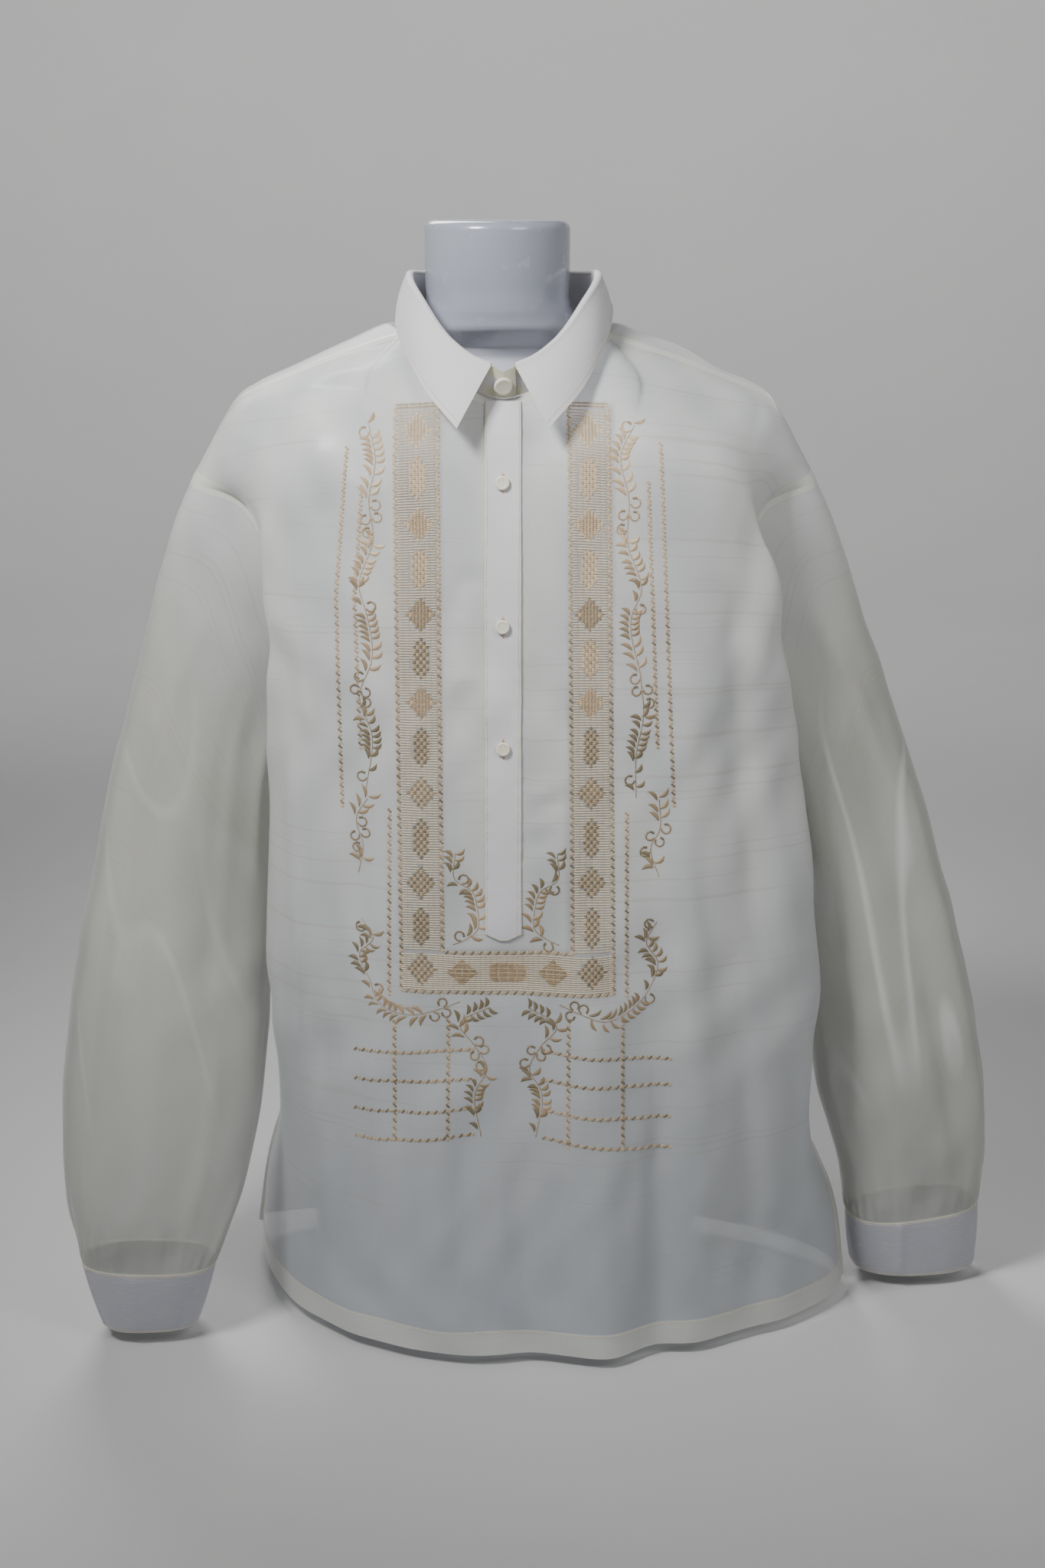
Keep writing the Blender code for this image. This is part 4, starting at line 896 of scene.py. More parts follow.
def sleeve_sections(rows, side, ring):
    """The sleeve's rings: the armhole first, then ovals that turn forward towards the cuff."""
    count = ring.shape[0]
    stations = np.linspace(0.0, len(rows) - 1, SLEEVE_ROWS + 1)
    values = np.stack([column(rows, name) for name in Arm._fields], axis=1)
    values = curve_through(np.arange(len(rows)), values, stations)
    half = count // 2
    steps = np.linalg.norm(np.diff(ring[: half + 1], axis=0), axis=1)
    first = np.concatenate([[0.0], np.cumsum(steps)])
    back = np.concatenate([ring[half:], ring[:1]])
    second = np.concatenate([[0.0], np.cumsum(np.linalg.norm(np.diff(back, axis=0), axis=1))])
    angle = np.concatenate([math.pi * first / first[-1], (math.pi + math.pi * second / second[-1])[1:-1]])
    grid = []
    for value in values:
        arm = Arm(*value)
        grid.append(oval(arm, side, angle))
    grid = np.array(grid)
    part = np.linspace(0.0, 1.0, SLEEVE_ROWS + 1)
    keep = 1.0 - smooth(part / 0.30)
    grid += (ring - grid[0])[None] * keep[:, None, None]
    return grid, angle, part


def oval(arm, side, angle):
    """One section of a sleeve, from its inner side over the front to its outer side."""
    middle = np.array([(arm.outer_x + arm.inner_x) / 2, arm.mid_y, (arm.outer_z + arm.inner_z) / 2])
    reach = np.array([(arm.outer_x - arm.inner_x) / 2, 0.0, (arm.outer_z - arm.inner_z) / 2])
    turn = math.radians(arm.turn)
    long = np.array([reach[0] * math.cos(turn), -reach[0] * math.sin(turn), reach[2]])
    short = np.array([-math.sin(turn), -math.cos(turn), 0.0]) * arm.half_depth
    power = 2.0 / arm.square
    along = -np.sign(np.cos(angle)) * np.abs(np.cos(angle)) ** power
    depth = np.sign(np.sin(angle)) * np.abs(np.sin(angle)) ** power
    points = middle + along[:, None] * long + depth[:, None] * short
    points[:, 0] *= side
    return points


def add_pleats(grid, normals, angle, part, pleats):
    """Raises and sinks the creases along a sleeve."""
    degrees = np.degrees(angle)
    lift = np.zeros(grid.shape[:2])
    for pleat in pleats:
        away = (degrees - pleat.angle + 180.0) % 360.0 - 180.0
        shape = np.exp(-((away / pleat.width) ** 2))
        length = smooth((part - pleat.start) / 0.15) * smooth((pleat.end - part) / 0.12)
        lift += pleat.height * length[:, None] * shape[None, :]
    calm = smooth(part / 0.15) * smooth((1.0 - part) / 0.06)
    return grid + normals * (lift * calm[:, None])[..., None]


def gathers(angle, part):
    """Small uneven gathers where the sleeve is taken into its cuff."""
    waves = np.sin(GATHERS * angle + 1.7 * np.sin(5.0 * angle)) * (0.7 + 0.3 * np.sin(3.0 * angle + 1.0))
    reach = 0.88 + 0.03 * np.sin(7.0 * angle + 2.0)
    return GATHER_HEIGHT * waves[None, :] * smooth((part[:, None] - reach[None, :]) / 0.10)


sleeves = {}
for name, side, j, arms, pleats, creases in (
    ("sleeve_left", -1, 0, SLEEVE_LEFT, PLEATS_LEFT, CREASES_LEFT),
    ("sleeve_right", 1, last, SLEEVE_RIGHT, PLEATS_RIGHT, CREASES_RIGHT),
):
    ring = np.concatenate([front[UNDERARM_ROW:, j], back[-2:UNDERARM_ROW:-1, j]])
    grid, angle, part = sleeve_sections(arms, side, ring)
    normals = grid_normals(grid, -side, closed=True)
    grid = add_pleats(grid, normals, angle, part, pleats + creases)
    calm = smooth(part / 0.12) * smooth((1.0 - part) / 0.01)
    lift = (slackness(grid) * 0.5 + gathers(angle, part)) * calm[:, None]
    grid = grid + normals * lift[..., None]
    sleeves[name] = (grid, side, angle)
    from_armhole = lengths(grid, 0)
    x, z = grid[..., 0], grid[..., 2]
    # Where the painted moiré lines show: the front of each sleeve between z 0.16 and 0.56, fully on the
    # right sleeve and at 0.30 on the left.
    front_side = smooth((np.sin(angle) - 0.2) / 0.4)[None, :]
    loops = front_side * smooth((0.56 - z) / 0.10) * smooth((z - 0.16) / 0.10)
    loops = loops * (1.0 if side > 0 else 0.30)
    # The 'empty' share paints shade into the sleeve, growing away from the armhole.
    stored = {"across": lengths(grid, 1), "along": from_armhole,
              "turned": SEAM_ALLOWANCE * 0.6 - from_armhole, "loops": loops,
              "empty": smooth(part / 0.3)[:, None],
              "cloudy": drift(grid, PAINTED_SHEEN_PITCH, 2.0), "phase": drift(grid, LOOP_PITCH, 4.0) * LOOPS}
    normals = grid_normals(grid, -side, closed=True)
    made = cloth_shell("shirt_" + name, grid, grid - normals * SHELL, stored, sheer_weave, closed=True)
    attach(made, "root")
    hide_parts(name)


# Cuffs: two deep bands of stiff, lined, opaque cloth, closed with a covered button behind. The
# full sleeve is taken up into the band's top edge.

CUFF_PRESSED = {-1: (98.0, 152.0), 1: (70.0, 140.0)}
CUFF_ROWS = 16
CUFF_PROUD = 0.0006
STIFF = 0.0018
SEAM = 0.0003


def stiff_cloth():
    """Opaque white cloth with a faint lavender cast, and cream where its layers show at an edge. Painted
    shade darkens it towards the bottom.
    """
    made = Finish("stiff_white_cloth")
    place = made.place()
    colour = made.mix((0.62, 0.605, 0.635), (0.69, 0.67, 0.69), made.noise(place, 14.0, 1.0))
    # Painted shade: the colour turns darker and bluer below z 0.5, most on the cuffs and the placket's
    # tip, for the light that falls off lower down.
    height = made.node("ShaderNodeSeparateXYZ", {}, {"Vector": place}, "Z")
    colour = made.mix((0.40, 0.40, 0.445), colour, made.step(height, 0.10, 0.50))
    threads = made.noise(made.stretched(place, (1300.0, 1300.0, 2600.0)), 1.0, 1.0)
    weft = made.noise(made.stretched(place, (90.0, 90.0, 1500.0)), 1.0, 2.0)
    colour = made.mix(colour, (0.70, 0.69, 0.70), made.step(weft, 0.55, 0.75) * 0.35)
    edge = 1.0 - made.step(made.stored("rim"), 0.0006, 0.0011)
    colour = made.mix(colour, (0.66, 0.64, 0.49), edge * 0.9)
    crumple = made.noise(place, 55.0, 3.0)
    height = threads * 0.35 + weft * 0.35 + crumple * 1.6
    made.finish(
        Base_Color=colour, Roughness=0.62 + threads * 0.15, Sheen_Weight=0.25,
        Sheen_Roughness=0.4, Specular_IOR_Level=0.35, Normal=made.bump(height, 0.0004, 0.5))
    return made.material


def trim_piece(name, outer, inner, rim, node, closed=False):
    made = cloth_shell(name, outer, inner, {"rim": rim}, stiff_weave, closed)
    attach(made, "root")
    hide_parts(node)
    return made


stiff_weave = stiff_cloth()
cuffs = {}
for name, (grid, side, angle) in sleeves.items():
    arms, hem = (SLEEVE_LEFT, CUFF_LEFT) if side < 0 else (SLEEVE_RIGHT, CUFF_RIGHT)
    start = oval(arms[-1], side, angle) - np.array([0.0, 0.0, SEAM])
    part = np.linspace(0.0, 1.0, CUFF_ROWS + 1)
    outer = start + (oval(hem, side, angle) - start) * part[:, None, None]
    normals = grid_normals(outer, -side, closed=True)
    round_off = smooth(part / 0.03) * smooth((1.0 - part) / 0.03)
    lift = 0.0010 * np.sin(math.pi * part)[:, None] + (CUFF_PROUD * round_off)[:, None]
    for pressed in CUFF_PRESSED[side]:
        ridge = 0.0016 * np.exp(-(((np.degrees(angle) - pressed) / 3.5) ** 2))
        lift = lift + ridge[None, :] * round_off[:, None]
    outer = outer + normals * lift[..., None]
    down = lengths(outer, 0)
    rim = np.minimum(down, down[-1:] - down)
    trim_piece(name.replace("sleeve", "shirt_cuff"), outer, outer - normals * STIFF, rim,
               name.replace("sleeve", "cuff"), closed=True)
    cuffs[name] = (outer, normals, down)


# Collar: a stiff stand on the neckline, lapped and buttoned in front, and a pressed leaf that
# folds over it to two points.

Leaf = namedtuple("Leaf", "angle fold_z edge_x edge_y edge_z")
LEAF = (
    Leaf(7.0, 0.7900, 0.0340, -0.1290, 0.7436),
    Leaf(18.0, 0.7955, 0.0430, -0.1205, 0.7530),
    Leaf(31.0, 0.8060, 0.0550, -0.1060, 0.7650),
    Leaf(60.0, 0.8375, 0.0770, -0.0600, 0.7995),
    Leaf(90.0, 0.8525, 0.0845, -0.0080, 0.8180),
    Leaf(120.0, 0.8520, 0.0810, 0.0420, 0.8240),
    Leaf(150.0, 0.8510, 0.0480, 0.0780, 0.8260),
    Leaf(180.0, 0.8505, 0.0000, 0.0900, 0.8270),
)
STAND_LAP = 7.0
STAND_BELOW_FOLD = 0.0033
LEAF_ANGLES = (7.0, 12.0, 18.0, 25.0, 33.0, 42.0, 52.0, 62.0, 74.0, 88.0, 104.0, 122.0, 142.0,
               162.0, 180.0)
LEAF_THICK = 0.0014
LEAF_TURN = (0.0014, -0.0030, 0.0030, 0.0027)
LEAF_BOW = 0.0015
neck_first = SHOULDER_COLUMNS
neck_last = last - SHOULDER_COLUMNS
neck_front = front[-1, neck_first : neck_last + 1]
neck_back = back[-1, neck_first : neck_last + 1]
loop = np.concatenate([neck_front[NECK_COLUMNS:-1], neck_back[::-1], neck_front[1:NECK_COLUMNS]])


def fold_line(angle):
    """The fold's place above the stand, at an angle from the front."""
    away = np.abs(angle)
    half = 0.0715
    depth = np.where(away < 90.0, 0.090, 0.078)
    x = half * np.sin(np.radians(angle))
    y = -0.010 - depth * np.cos(np.radians(away))
    z = curve_through(column(LEAF, "angle"), column(LEAF, "fold_z"), away)
    return np.stack([x, y, z], axis=-1)


def seam_line(angle):
    """The neckline's place below the stand, at an angle from the front."""
    around = np.degrees(np.arctan2(loop[:, 0] / NECK_HALF, -(loop[:, 1] + 0.012) / 0.080))
    order = np.argsort(around)
    around = np.concatenate([[around[order][-1] - 360.0], around[order], [around[order][0] + 360.0]])
    points = loop[order]
    points = np.concatenate([points[-1:], points, points[:1]])
    wrapped = (np.asarray(angle, dtype=float) + 180.0) % 360.0 - 180.0
    return np.stack([np.interp(wrapped, around, points[:, axis]) for axis in range(3)], axis=-1)


angles = np.linspace(-STAND_LAP, 360.0 + STAND_LAP, 375)
turn = np.radians(angles)
outward = np.stack([np.sin(turn), -np.cos(turn), np.zeros_like(turn)], axis=1)
over = smooth((angles - 340.0) / 12.0) * (STIFF + 2 * SEAM)
wrapped = (angles + 180.0) % 360.0 - 180.0
low = seam_line(angles) + np.array([0.0, 0.0, SEAM * 2]) + outward * over[:, None]
high = fold_line(wrapped) - np.array([0.0, 0.0, STAND_BELOW_FOLD]) + outward * over[:, None]
part = np.linspace(0.0, 1.0, 9)[:, None, None]
stand = low + (high - low) * part
rise, run = lengths(stand, 0), lengths(stand, 1)
rim = np.minimum(np.minimum(rise, rise[-1:] - rise) + 0.0005, np.minimum(run, run[:, -1:] - run))
rim = rim * np.where(np.abs(wrapped) < 12.0, 0.1, 1.0)
trim_piece("shirt_collar_stand", stand, stand - outward[None] * STIFF, rim, "collar_stand")

half_angles = np.interp(np.arange(0.0, 14.01, 0.25), np.arange(15), LEAF_ANGLES)
angles = np.concatenate([-half_angles, half_angles[-2::-1]])
turn = np.radians(angles)
outward = np.stack([np.sin(turn), -np.cos(turn), np.zeros_like(turn)], axis=1)
up = np.array([0.0, 0.0, 1.0])
away = np.abs(angles)
edge = np.stack([
    np.sign(angles) * curve_through(column(LEAF, "angle"), column(LEAF, "edge_x"), away),
    curve_through(column(LEAF, "angle"), column(LEAF, "edge_y"), away),
    curve_through(column(LEAF, "angle"), column(LEAF, "edge_z"), away),
], axis=1)
out_from, up_from, wide, tall = LEAF_TURN
outer_rows, inner_rows = [], []
for turn in np.radians(np.linspace(180.0, 0.0, 9)):
    for rows, thin in ((outer_rows, 0.0), (inner_rows, LEAF_THICK)):
        shift = outward * (out_from + (wide - thin) * math.cos(turn))
        rows.append(fold_line(angles) + shift + up * (up_from + (tall - thin) * math.sin(turn)))
hang = edge - outer_rows[-1]
top = outer_rows[-1]
for share in np.linspace(0.0, 1.0, 15)[1:]:
    ripple = 0.0004 * np.sin(angles * 0.11 + 3.0 * share) * share
    bow = outward * (LEAF_BOW * math.sin(math.pi * share) + ripple[:, None])
    outer_rows.append(top + hang * share + bow)
    inner_rows.append(outer_rows[-1] - outward * LEAF_THICK)
leaf = np.array(outer_rows)
down, run = lengths(leaf, 0), lengths(leaf, 1)
rim = np.minimum(down[-1:] - down, np.minimum(run, run[:, -1:] - run))
trim_piece("shirt_collar_leaf", leaf, np.array(inner_rows), rim, "collar_leaf")


# Placket: a pointed strip of the stiff cloth sewn down the middle of the front, with a covered
# button at each of three places. It lies on the front's own surface.

PLACKET_WIDTH = 0.0275
PLACKET_TIP_Z = 0.353
PLACKET_POINT = 0.006
PLACKET_GAP = 0.0004
PLACKET_THICK = 0.0013
front_index = np.arange(front.shape[0] * front.shape[1]).reshape(front.shape[:2])
front_quads = np.stack([front_index[:-1, :-1], front_index[:-1, 1:], front_index[1:, 1:],
                        front_index[1:, :-1]], axis=-1).reshape(-1, 4)
front_surface = BVHTree.FromPolygons(front.reshape(-1, 3).tolist(), front_quads.tolist())


def on_front(x, z):
    """The front's outer point in this place, seen from the front, and its normal."""
    place, normal, _, _ = front_surface.ray_cast(Vector((x, -1.0, z)), Vector((0.0, 1.0, 0.0)))
    normal = np.array(normal)
    return np.array(place), normal if normal[1] < 0 else -normal


shares = np.array([-1.0, -0.985, -0.94, -0.8, -0.5, -0.2, 0.2, 0.5, 0.8, 0.94, 0.985, 1.0])
edge_drop = np.array([0.0005, 0.0001, 0.0, 0.0, 0.0, 0.0, 0.0, 0.0, 0.0, 0.0, 0.0001, 0.0005])
outer_rows, inner_rows = [], []
for down in np.linspace(1.0, 0.0, 130):
    outer_row, inner_row = [], []
    for share, drop in zip(shares, edge_drop):
        tip = PLACKET_TIP_Z + PLACKET_POINT * abs(share)
        z = NECK_FRONT[1] - 0.002 - (NECK_FRONT[1] - 0.002 - tip) * down
        place, normal = on_front(share * PLACKET_WIDTH / 2, z)
        pucker = 0.00022 * math.sin(z * 420.0) * abs(share) ** 3
        inner_row.append(place + normal * PLACKET_GAP * 0.5)
        outer_row.append(place + normal * (PLACKET_GAP + PLACKET_THICK - drop + pucker))
    outer_rows.append(outer_row)
    inner_rows.append(inner_row)
placket = np.array(outer_rows)
run, rise = lengths(placket, 1), lengths(placket, 0)
rim = np.minimum(np.minimum(run, run[:, -1:] - run), rise + 0.0004)
trim_piece("shirt_placket", placket, np.array(inner_rows), rim, "placket")


# Stitches: each is a row of numbers for its place and size, and one Geometry Nodes group lays
# the chosen stitch shape on all of them, turned along the thread and out from the cloth.

def silk_floss():
    """Silk floss from cream to olive brown, with its strands side by side along each stitch."""
    made = Finish("embroidery_floss")
    place = made.place()
    tone = made.stored("shade") + made.noise(place, 170.0, 1.0) * 0.22 + 0.05
    stops = ((0.0, (0.82, 0.70, 0.50)), (0.30, (0.62, 0.45, 0.27)), (0.62, (0.34, 0.235, 0.13)),
             (1.0, (0.150, 0.115, 0.055)))
    colour = made.node("ShaderNodeValToRGB", {"stops": stops}, {"Fac": tone})
    strands = made.node("ShaderNodeMath", {"operation": "SINE"}, {0: made.stored("strand") * 9.0})
    colour = made.mix(colour, (0.88, 0.84, 0.74), made.step(strands, 0.3, 1.0) * 0.18)
    made.finish(
        Base_Color=colour, Roughness=0.45 + strands * 0.05,
        Sheen_Weight=0.3, Sheen_Roughness=0.3, Specular_IOR_Level=0.5,
        Normal=made.bump(strands, 0.00012, 0.6))
    return made.material


def stitch_shape(name, sections):
    """A low stitch one unit long and wide, flat underneath, from its cross-sections' x, half
    width, height and sideways shift. It isn't shown by itself."""
    points, faces, strands = [], [], []
    for x, half, height, shift in sections:
        for turn in np.radians((0.0, 55.0, 90.0, 125.0, 180.0)):
            points.append((x, half * math.cos(turn) + shift, height * math.sin(turn)))
            strands.append(math.cos(turn))
    for i in range(len(sections) - 1):
        for k in range(4):
            a = 5 * i + k
            faces.append((a + 5, a + 6, a + 1, a))
    end = 5 * (len(sections) - 1)
    faces += [(0, 1, 2, 3, 4), (end + 4, end + 3, end + 2, end + 1, end)]
    made = mesh_object(name, points, faces, floss)
    kept = made.data.attributes.new("strand", "FLOAT", "POINT")
    kept.data.foreach_set("value", strands)
    bpy.context.scene.collection.objects.unlink(made)
    return made


def stitching_group():
    """Geometry Nodes: a stitch on each point, by its own direction, outward side and size."""
    group = bpy.data.node_groups.new("stitching", "GeometryNodeTree")
    for name, kind in (("Places", "NodeSocketGeometry"), ("Stitch", "NodeSocketObject"),
                       ("Thread", "NodeSocketMaterial"), ("Fullness", "NodeSocketFloat")):
        group.interface.new_socket(name, in_out="INPUT", socket_type=kind)
    group.interface.new_socket("Stitches", in_out="OUTPUT", socket_type="NodeSocketGeometry")

    def node(kind, settings=None, **links):
        made = group.nodes.new(kind)
        for key, value in (settings or {}).items():
            setattr(made, key, value)
        for key, value in links.items():
            socket = made.inputs[key.replace("_", " ")]
            if isinstance(value, bpy.types.NodeSocket):
                group.links.new(value, socket)
            else:
                socket.default_value = value
        return made

    given = node("NodeGroupInput").outputs
    kept = {}
    for name in ("along", "out", "size"):
        named = node("GeometryNodeInputNamedAttribute", {"data_type": "FLOAT_VECTOR"}, Name=name)
        kept[name] = named.outputs["Attribute"]
    upright = node("FunctionNodeAlignRotationToVector", {"axis": "Z"}, Vector=kept["out"])
    turned = node("FunctionNodeAlignRotationToVector", {"axis": "X", "pivot_axis": "Z"},
                  Rotation=upright.outputs[0], Vector=kept["along"])
    full = node("ShaderNodeCombineXYZ", X=1.0, Y=1.0, Z=given["Fullness"])
    scale = node("ShaderNodeVectorMath", {"operation": "MULTIPLY"})
    group.links.new(kept["size"], scale.inputs[0])
    group.links.new(full.outputs[0], scale.inputs[1])
    shape = node("GeometryNodeObjectInfo", Object=given["Stitch"])
    laid = node("GeometryNodeInstanceOnPoints", Points=given["Places"], Scale=scale.outputs[0],
                Instance=shape.outputs["Geometry"], Rotation=turned.outputs[0])
    real = node("GeometryNodeRealizeInstances", Geometry=laid.outputs[0])
    sewn = node("GeometryNodeSetMaterial", Geometry=real.outputs[0], Material=given["Thread"])
    node("NodeGroupOutput", Stitches=sewn.outputs[0])
    return group


def stitch_between(rows, first, second, out, width, height, shade):
    """Adds a stitch from one point to another to the rows."""
    run = second - first
    size = (np.linalg.norm(run), width, height)
    rows.append(np.concatenate([(first + second) / 2, run, out, size, [shade]]))


def lay_stitches(name, rows, shape, fullness=1.0):
    """All the stitches of these rows as one mesh piece."""
    rows = np.array(rows)
    mesh = bpy.data.meshes.new(name)
    mesh.from_pydata(rows[:, :3].tolist(), [], [])
    for key, first in (("along", 3), ("out", 6), ("size", 9)):
        kept = mesh.attributes.new(key, "FLOAT_VECTOR", "POINT")
        kept.data.foreach_set("vector", rows[:, first : first + 3].ravel())
    kept = mesh.attributes.new("shade", "FLOAT", "POINT")
    kept.data.foreach_set("value", rows[:, 12])
    made = bpy.data.objects.new(name, mesh)
    bpy.context.scene.collection.objects.link(made)
    modifier = made.modifiers.new("stitches", "NODES")
    modifier.node_group = stitching
    given = {"Stitch": shape, "Thread": floss, "Fullness": fullness}
    for item in stitching.interface.items_tree:
        if item.name in given:
            modifier[item.identifier] = given[item.name]
    seen = made.evaluated_get(bpy.context.evaluated_depsgraph_get())
    made.data = bpy.data.meshes.new_from_object(seen)
    made.modifiers.remove(modifier)
    made.data.shade_smooth()
    made.data.set_sharp_from_angle(angle=math.radians(70))
    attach(made, "root")
    return made


floss = silk_floss()
stitching = stitching_group()
THREAD = stitch_shape("thread", ((-0.5, 0.20, 0.15, 0.0), (-0.36, 0.44, 0.85, 0.0),
                                 (0.36, 0.44, 0.85, 0.0), (0.5, 0.20, 0.15, 0.0)))
PAD = stitch_shape("pad", ((-0.5, 0.36, 0.25, 0.0), (-0.30, 0.50, 1.0, 0.0),
                           (0.30, 0.50, 1.0, 0.0), (0.5, 0.36, 0.25, 0.0)))
PETAL = stitch_shape("petal", (
    (-0.5, 0.05, 0.2, 0.55), (-0.30, 0.36, 0.8, 0.20), (-0.08, 0.50, 1.0, 0.0),
    (0.18, 0.46, 1.0, 0.02), (0.36, 0.26, 0.7, 0.25), (0.5, 0.04, 0.2, 0.55)))


# Embroidery on the front: a U-shaped band of drawn threads with woven diamonds, chains of slanted
# stitches along it and beside it, and leafy vines with small curls.

Motif = namedtuple("Motif", "kind x z shade")
Line = namedtuple("Line", "x_from z_from x_to z_to")
MOTIFS = (
    Motif("strips", -0.0645, 0.7400, 0.05), Motif("light", -0.0640, 0.7060, 0.10),
    Motif("strips", -0.0632, 0.6715, 0.20), Motif("light", -0.0626, 0.6385, 0.25),
    Motif("strips", -0.0622, 0.6045, 0.60), Motif("long", -0.0620, 0.5715, 0.85),
    Motif("strips", -0.0619, 0.5380, 0.55), Motif("long", -0.0620, 0.5040, 0.90),
    Motif("square", -0.0623, 0.4685, 0.75), Motif("long", -0.0627, 0.4330, 0.90),
    Motif("square", -0.0631, 0.3985, 0.90), Motif("long", -0.0636, 0.3635, 0.95),
    Motif("square", -0.0632, 0.3295, 0.80),
    Motif("strips", 0.0632, 0.7400, 0.05), Motif("light", 0.0636, 0.7060, 0.12),
    Motif("strips", 0.0640, 0.6715, 0.18), Motif("light", 0.0645, 0.6385, 0.20),
    Motif("strips", 0.0650, 0.6045, 0.70), Motif("light", 0.0655, 0.5715, 0.35),
    Motif("strips", 0.0660, 0.5380, 0.35), Motif("long", 0.0664, 0.5040, 0.95),
    Motif("square", 0.0667, 0.4685, 0.75), Motif("long", 0.0670, 0.4330, 0.85),
    Motif("square", 0.0674, 0.3985, 0.90), Motif("long", 0.0678, 0.3635, 0.90),
    Motif("square", 0.0680, 0.3295, 0.85),
)
BAND_LEFT = (Line(-0.0810, 0.756, -0.0790, 0.311), Line(-0.0490, 0.758, -0.0470, 0.344))
BAND_RIGHT = (Line(0.0490, 0.758, 0.0530, 0.344), Line(0.0780, 0.757, 0.0850, 0.311))
BAND_FOOT = (0.343, 0.312)
CHAINS = BAND_LEFT + BAND_RIGHT + (
    Line(-0.0460, 0.3435, 0.0520, 0.3435), Line(-0.0770, 0.3115, 0.0840, 0.3115),
    Line(-0.1160, 0.730, -0.1260, 0.617), Line(-0.1260, 0.617, -0.1240, 0.453),
    Line(-0.1050, 0.702, -0.1120, 0.617), Line(-0.1120, 0.617, -0.1090, 0.500),
    Line(-0.0870, 0.456, -0.0890, 0.307), Line(0.1080, 0.705, 0.1170, 0.502),
    Line(0.1170, 0.733, 0.1300, 0.456), Line(0.0940, 0.454, 0.0950, 0.308),
    Line(-0.1190, 0.258, -0.0230, 0.266), Line(-0.1190, 0.234, -0.0230, 0.242),
    Line(-0.1200, 0.208, -0.0230, 0.218), Line(-0.1200, 0.184, -0.0230, 0.196),
    Line(-0.0850, 0.288, -0.0860, 0.187), Line(-0.0430, 0.291, -0.0440, 0.191),
    Line(0.0280, 0.266, 0.1310, 0.255), Line(0.0280, 0.242, 0.1310, 0.233),
    Line(0.0290, 0.217, 0.1310, 0.206), Line(0.0290, 0.194, 0.1320, 0.180),
    Line(0.0500, 0.294, 0.0500, 0.187), Line(0.0920, 0.292, 0.0930, 0.186),
)
CHAIN_PITCH = 0.0064
LADDER_PITCH = 0.0020
CELL = np.array([0.00248, 0.00292])
VINES = (
    ((-0.100, 0.744), (-0.095, 0.720), (-0.100, 0.689), (-0.097, 0.663), (-0.108, 0.623),
     (-0.103, 0.606), (-0.099, 0.571), (-0.109, 0.541), (-0.100, 0.512), (-0.105, 0.469)),
    ((-0.104, 0.462), (-0.113, 0.446), (-0.108, 0.424), (-0.112, 0.402)),
    ((-0.110, 0.366), (-0.101, 0.352), (-0.112, 0.338), (-0.104, 0.318), (-0.098, 0.302),
     (-0.074, 0.292), (-0.050, 0.298), (-0.034, 0.304)),
    ((-0.037, 0.422), (-0.037, 0.401), (-0.024, 0.392), (-0.020, 0.378), (-0.020, 0.362),
     (-0.031, 0.353), (-0.039, 0.350)),
    ((-0.011, 0.300), (-0.034, 0.286), (-0.022, 0.268), (-0.013, 0.251), (-0.022, 0.232),
     (-0.018, 0.194)),
    ((0.098, 0.744), (0.088, 0.725), (0.094, 0.689), (0.093, 0.659), (0.103, 0.620),
     (0.097, 0.606), (0.104, 0.554), (0.106, 0.527), (0.101, 0.499), (0.101, 0.464)),
    ((0.119, 0.462), (0.119, 0.437), (0.113, 0.426), (0.119, 0.402)),
    ((0.118, 0.366), (0.110, 0.350), (0.119, 0.334), (0.114, 0.316), (0.102, 0.300),
     (0.080, 0.291), (0.060, 0.297), (0.043, 0.304)),
    ((0.041, 0.422), (0.041, 0.401), (0.028, 0.392), (0.024, 0.378), (0.024, 0.362),
     (0.035, 0.353), (0.043, 0.350)),
    ((0.019, 0.300), (0.041, 0.286), (0.028, 0.268), (0.020, 0.251), (0.029, 0.232),
     (0.025, 0.194)),
)
threads, vine_threads, pads, petals = [], [], [], []


def sew(rows, start, end, width, height, shade):
    """A stitch on the front between two (x, z) places. It starts and ends on the cloth."""
    first, out = on_front(*start)
    second, other = on_front(*end)
    stitch_between(rows, first, second, unit(out + other), width, height, shade)


def tan_share(x, z):
    """The thread's colour in a place: cream at the top, tan and olive in patches lower down."""
    patches = 0.5 + 0.3 * math.sin(x * 31.0 + z * 47.0) + 0.2 * math.sin(z * 113.0 - x * 19.0)
    return float(0.16 + smooth(np.array((0.66 - z) / 0.11)) * (0.20 + 0.56 * patches))


def chain(line):
    """Slanted dark stitches in pairs, with a cream one between each pair and the next."""
    start = np.array([line.x_from, line.z_from])
    run = np.array([line.x_to, line.z_to]) - start
    count = max(2, round(np.linalg.norm(run) / CHAIN_PITCH))
    ahead = run / np.linalg.norm(run)
    slant = np.array([ahead[0] - ahead[1], ahead[0] + ahead[1]]) / math.sqrt(2.0)
    side = np.array([-slant[1], slant[0]])
    for k in range(count):
        spot = start + run * (k + 0.35) / count
        dark = tan_share(*spot) + 0.10 * (k % 2)
        for shift, length in ((-0.00095, 0.0019), (0.00085, 0.0023)):
            middle = spot + slant * shift
            sew(pads, middle - slant * length / 2, middle + slant * length / 2, 0.0019, 0.00042, dark)
        spot = spot + run * 0.5 / count
        for shift, length in ((-0.00055, 0.0030), (0.00055, 0.0036)):
            middle = spot + side * shift
            sew(threads, middle - slant * length / 2, middle + slant * length / 2, 0.0011, 0.00048,
                0.02 + 0.25 * dark)


def in_motif(motif, x, z):
    """True where a woven motif covers the drawn threads."""
    i, j = abs(x - motif.x) / CELL[0], abs(z - motif.z) / CELL[1]
    if motif.kind in ("long", "light"):
        return i < 2.5 and i + j < 5.6
    return i + j < 4.6


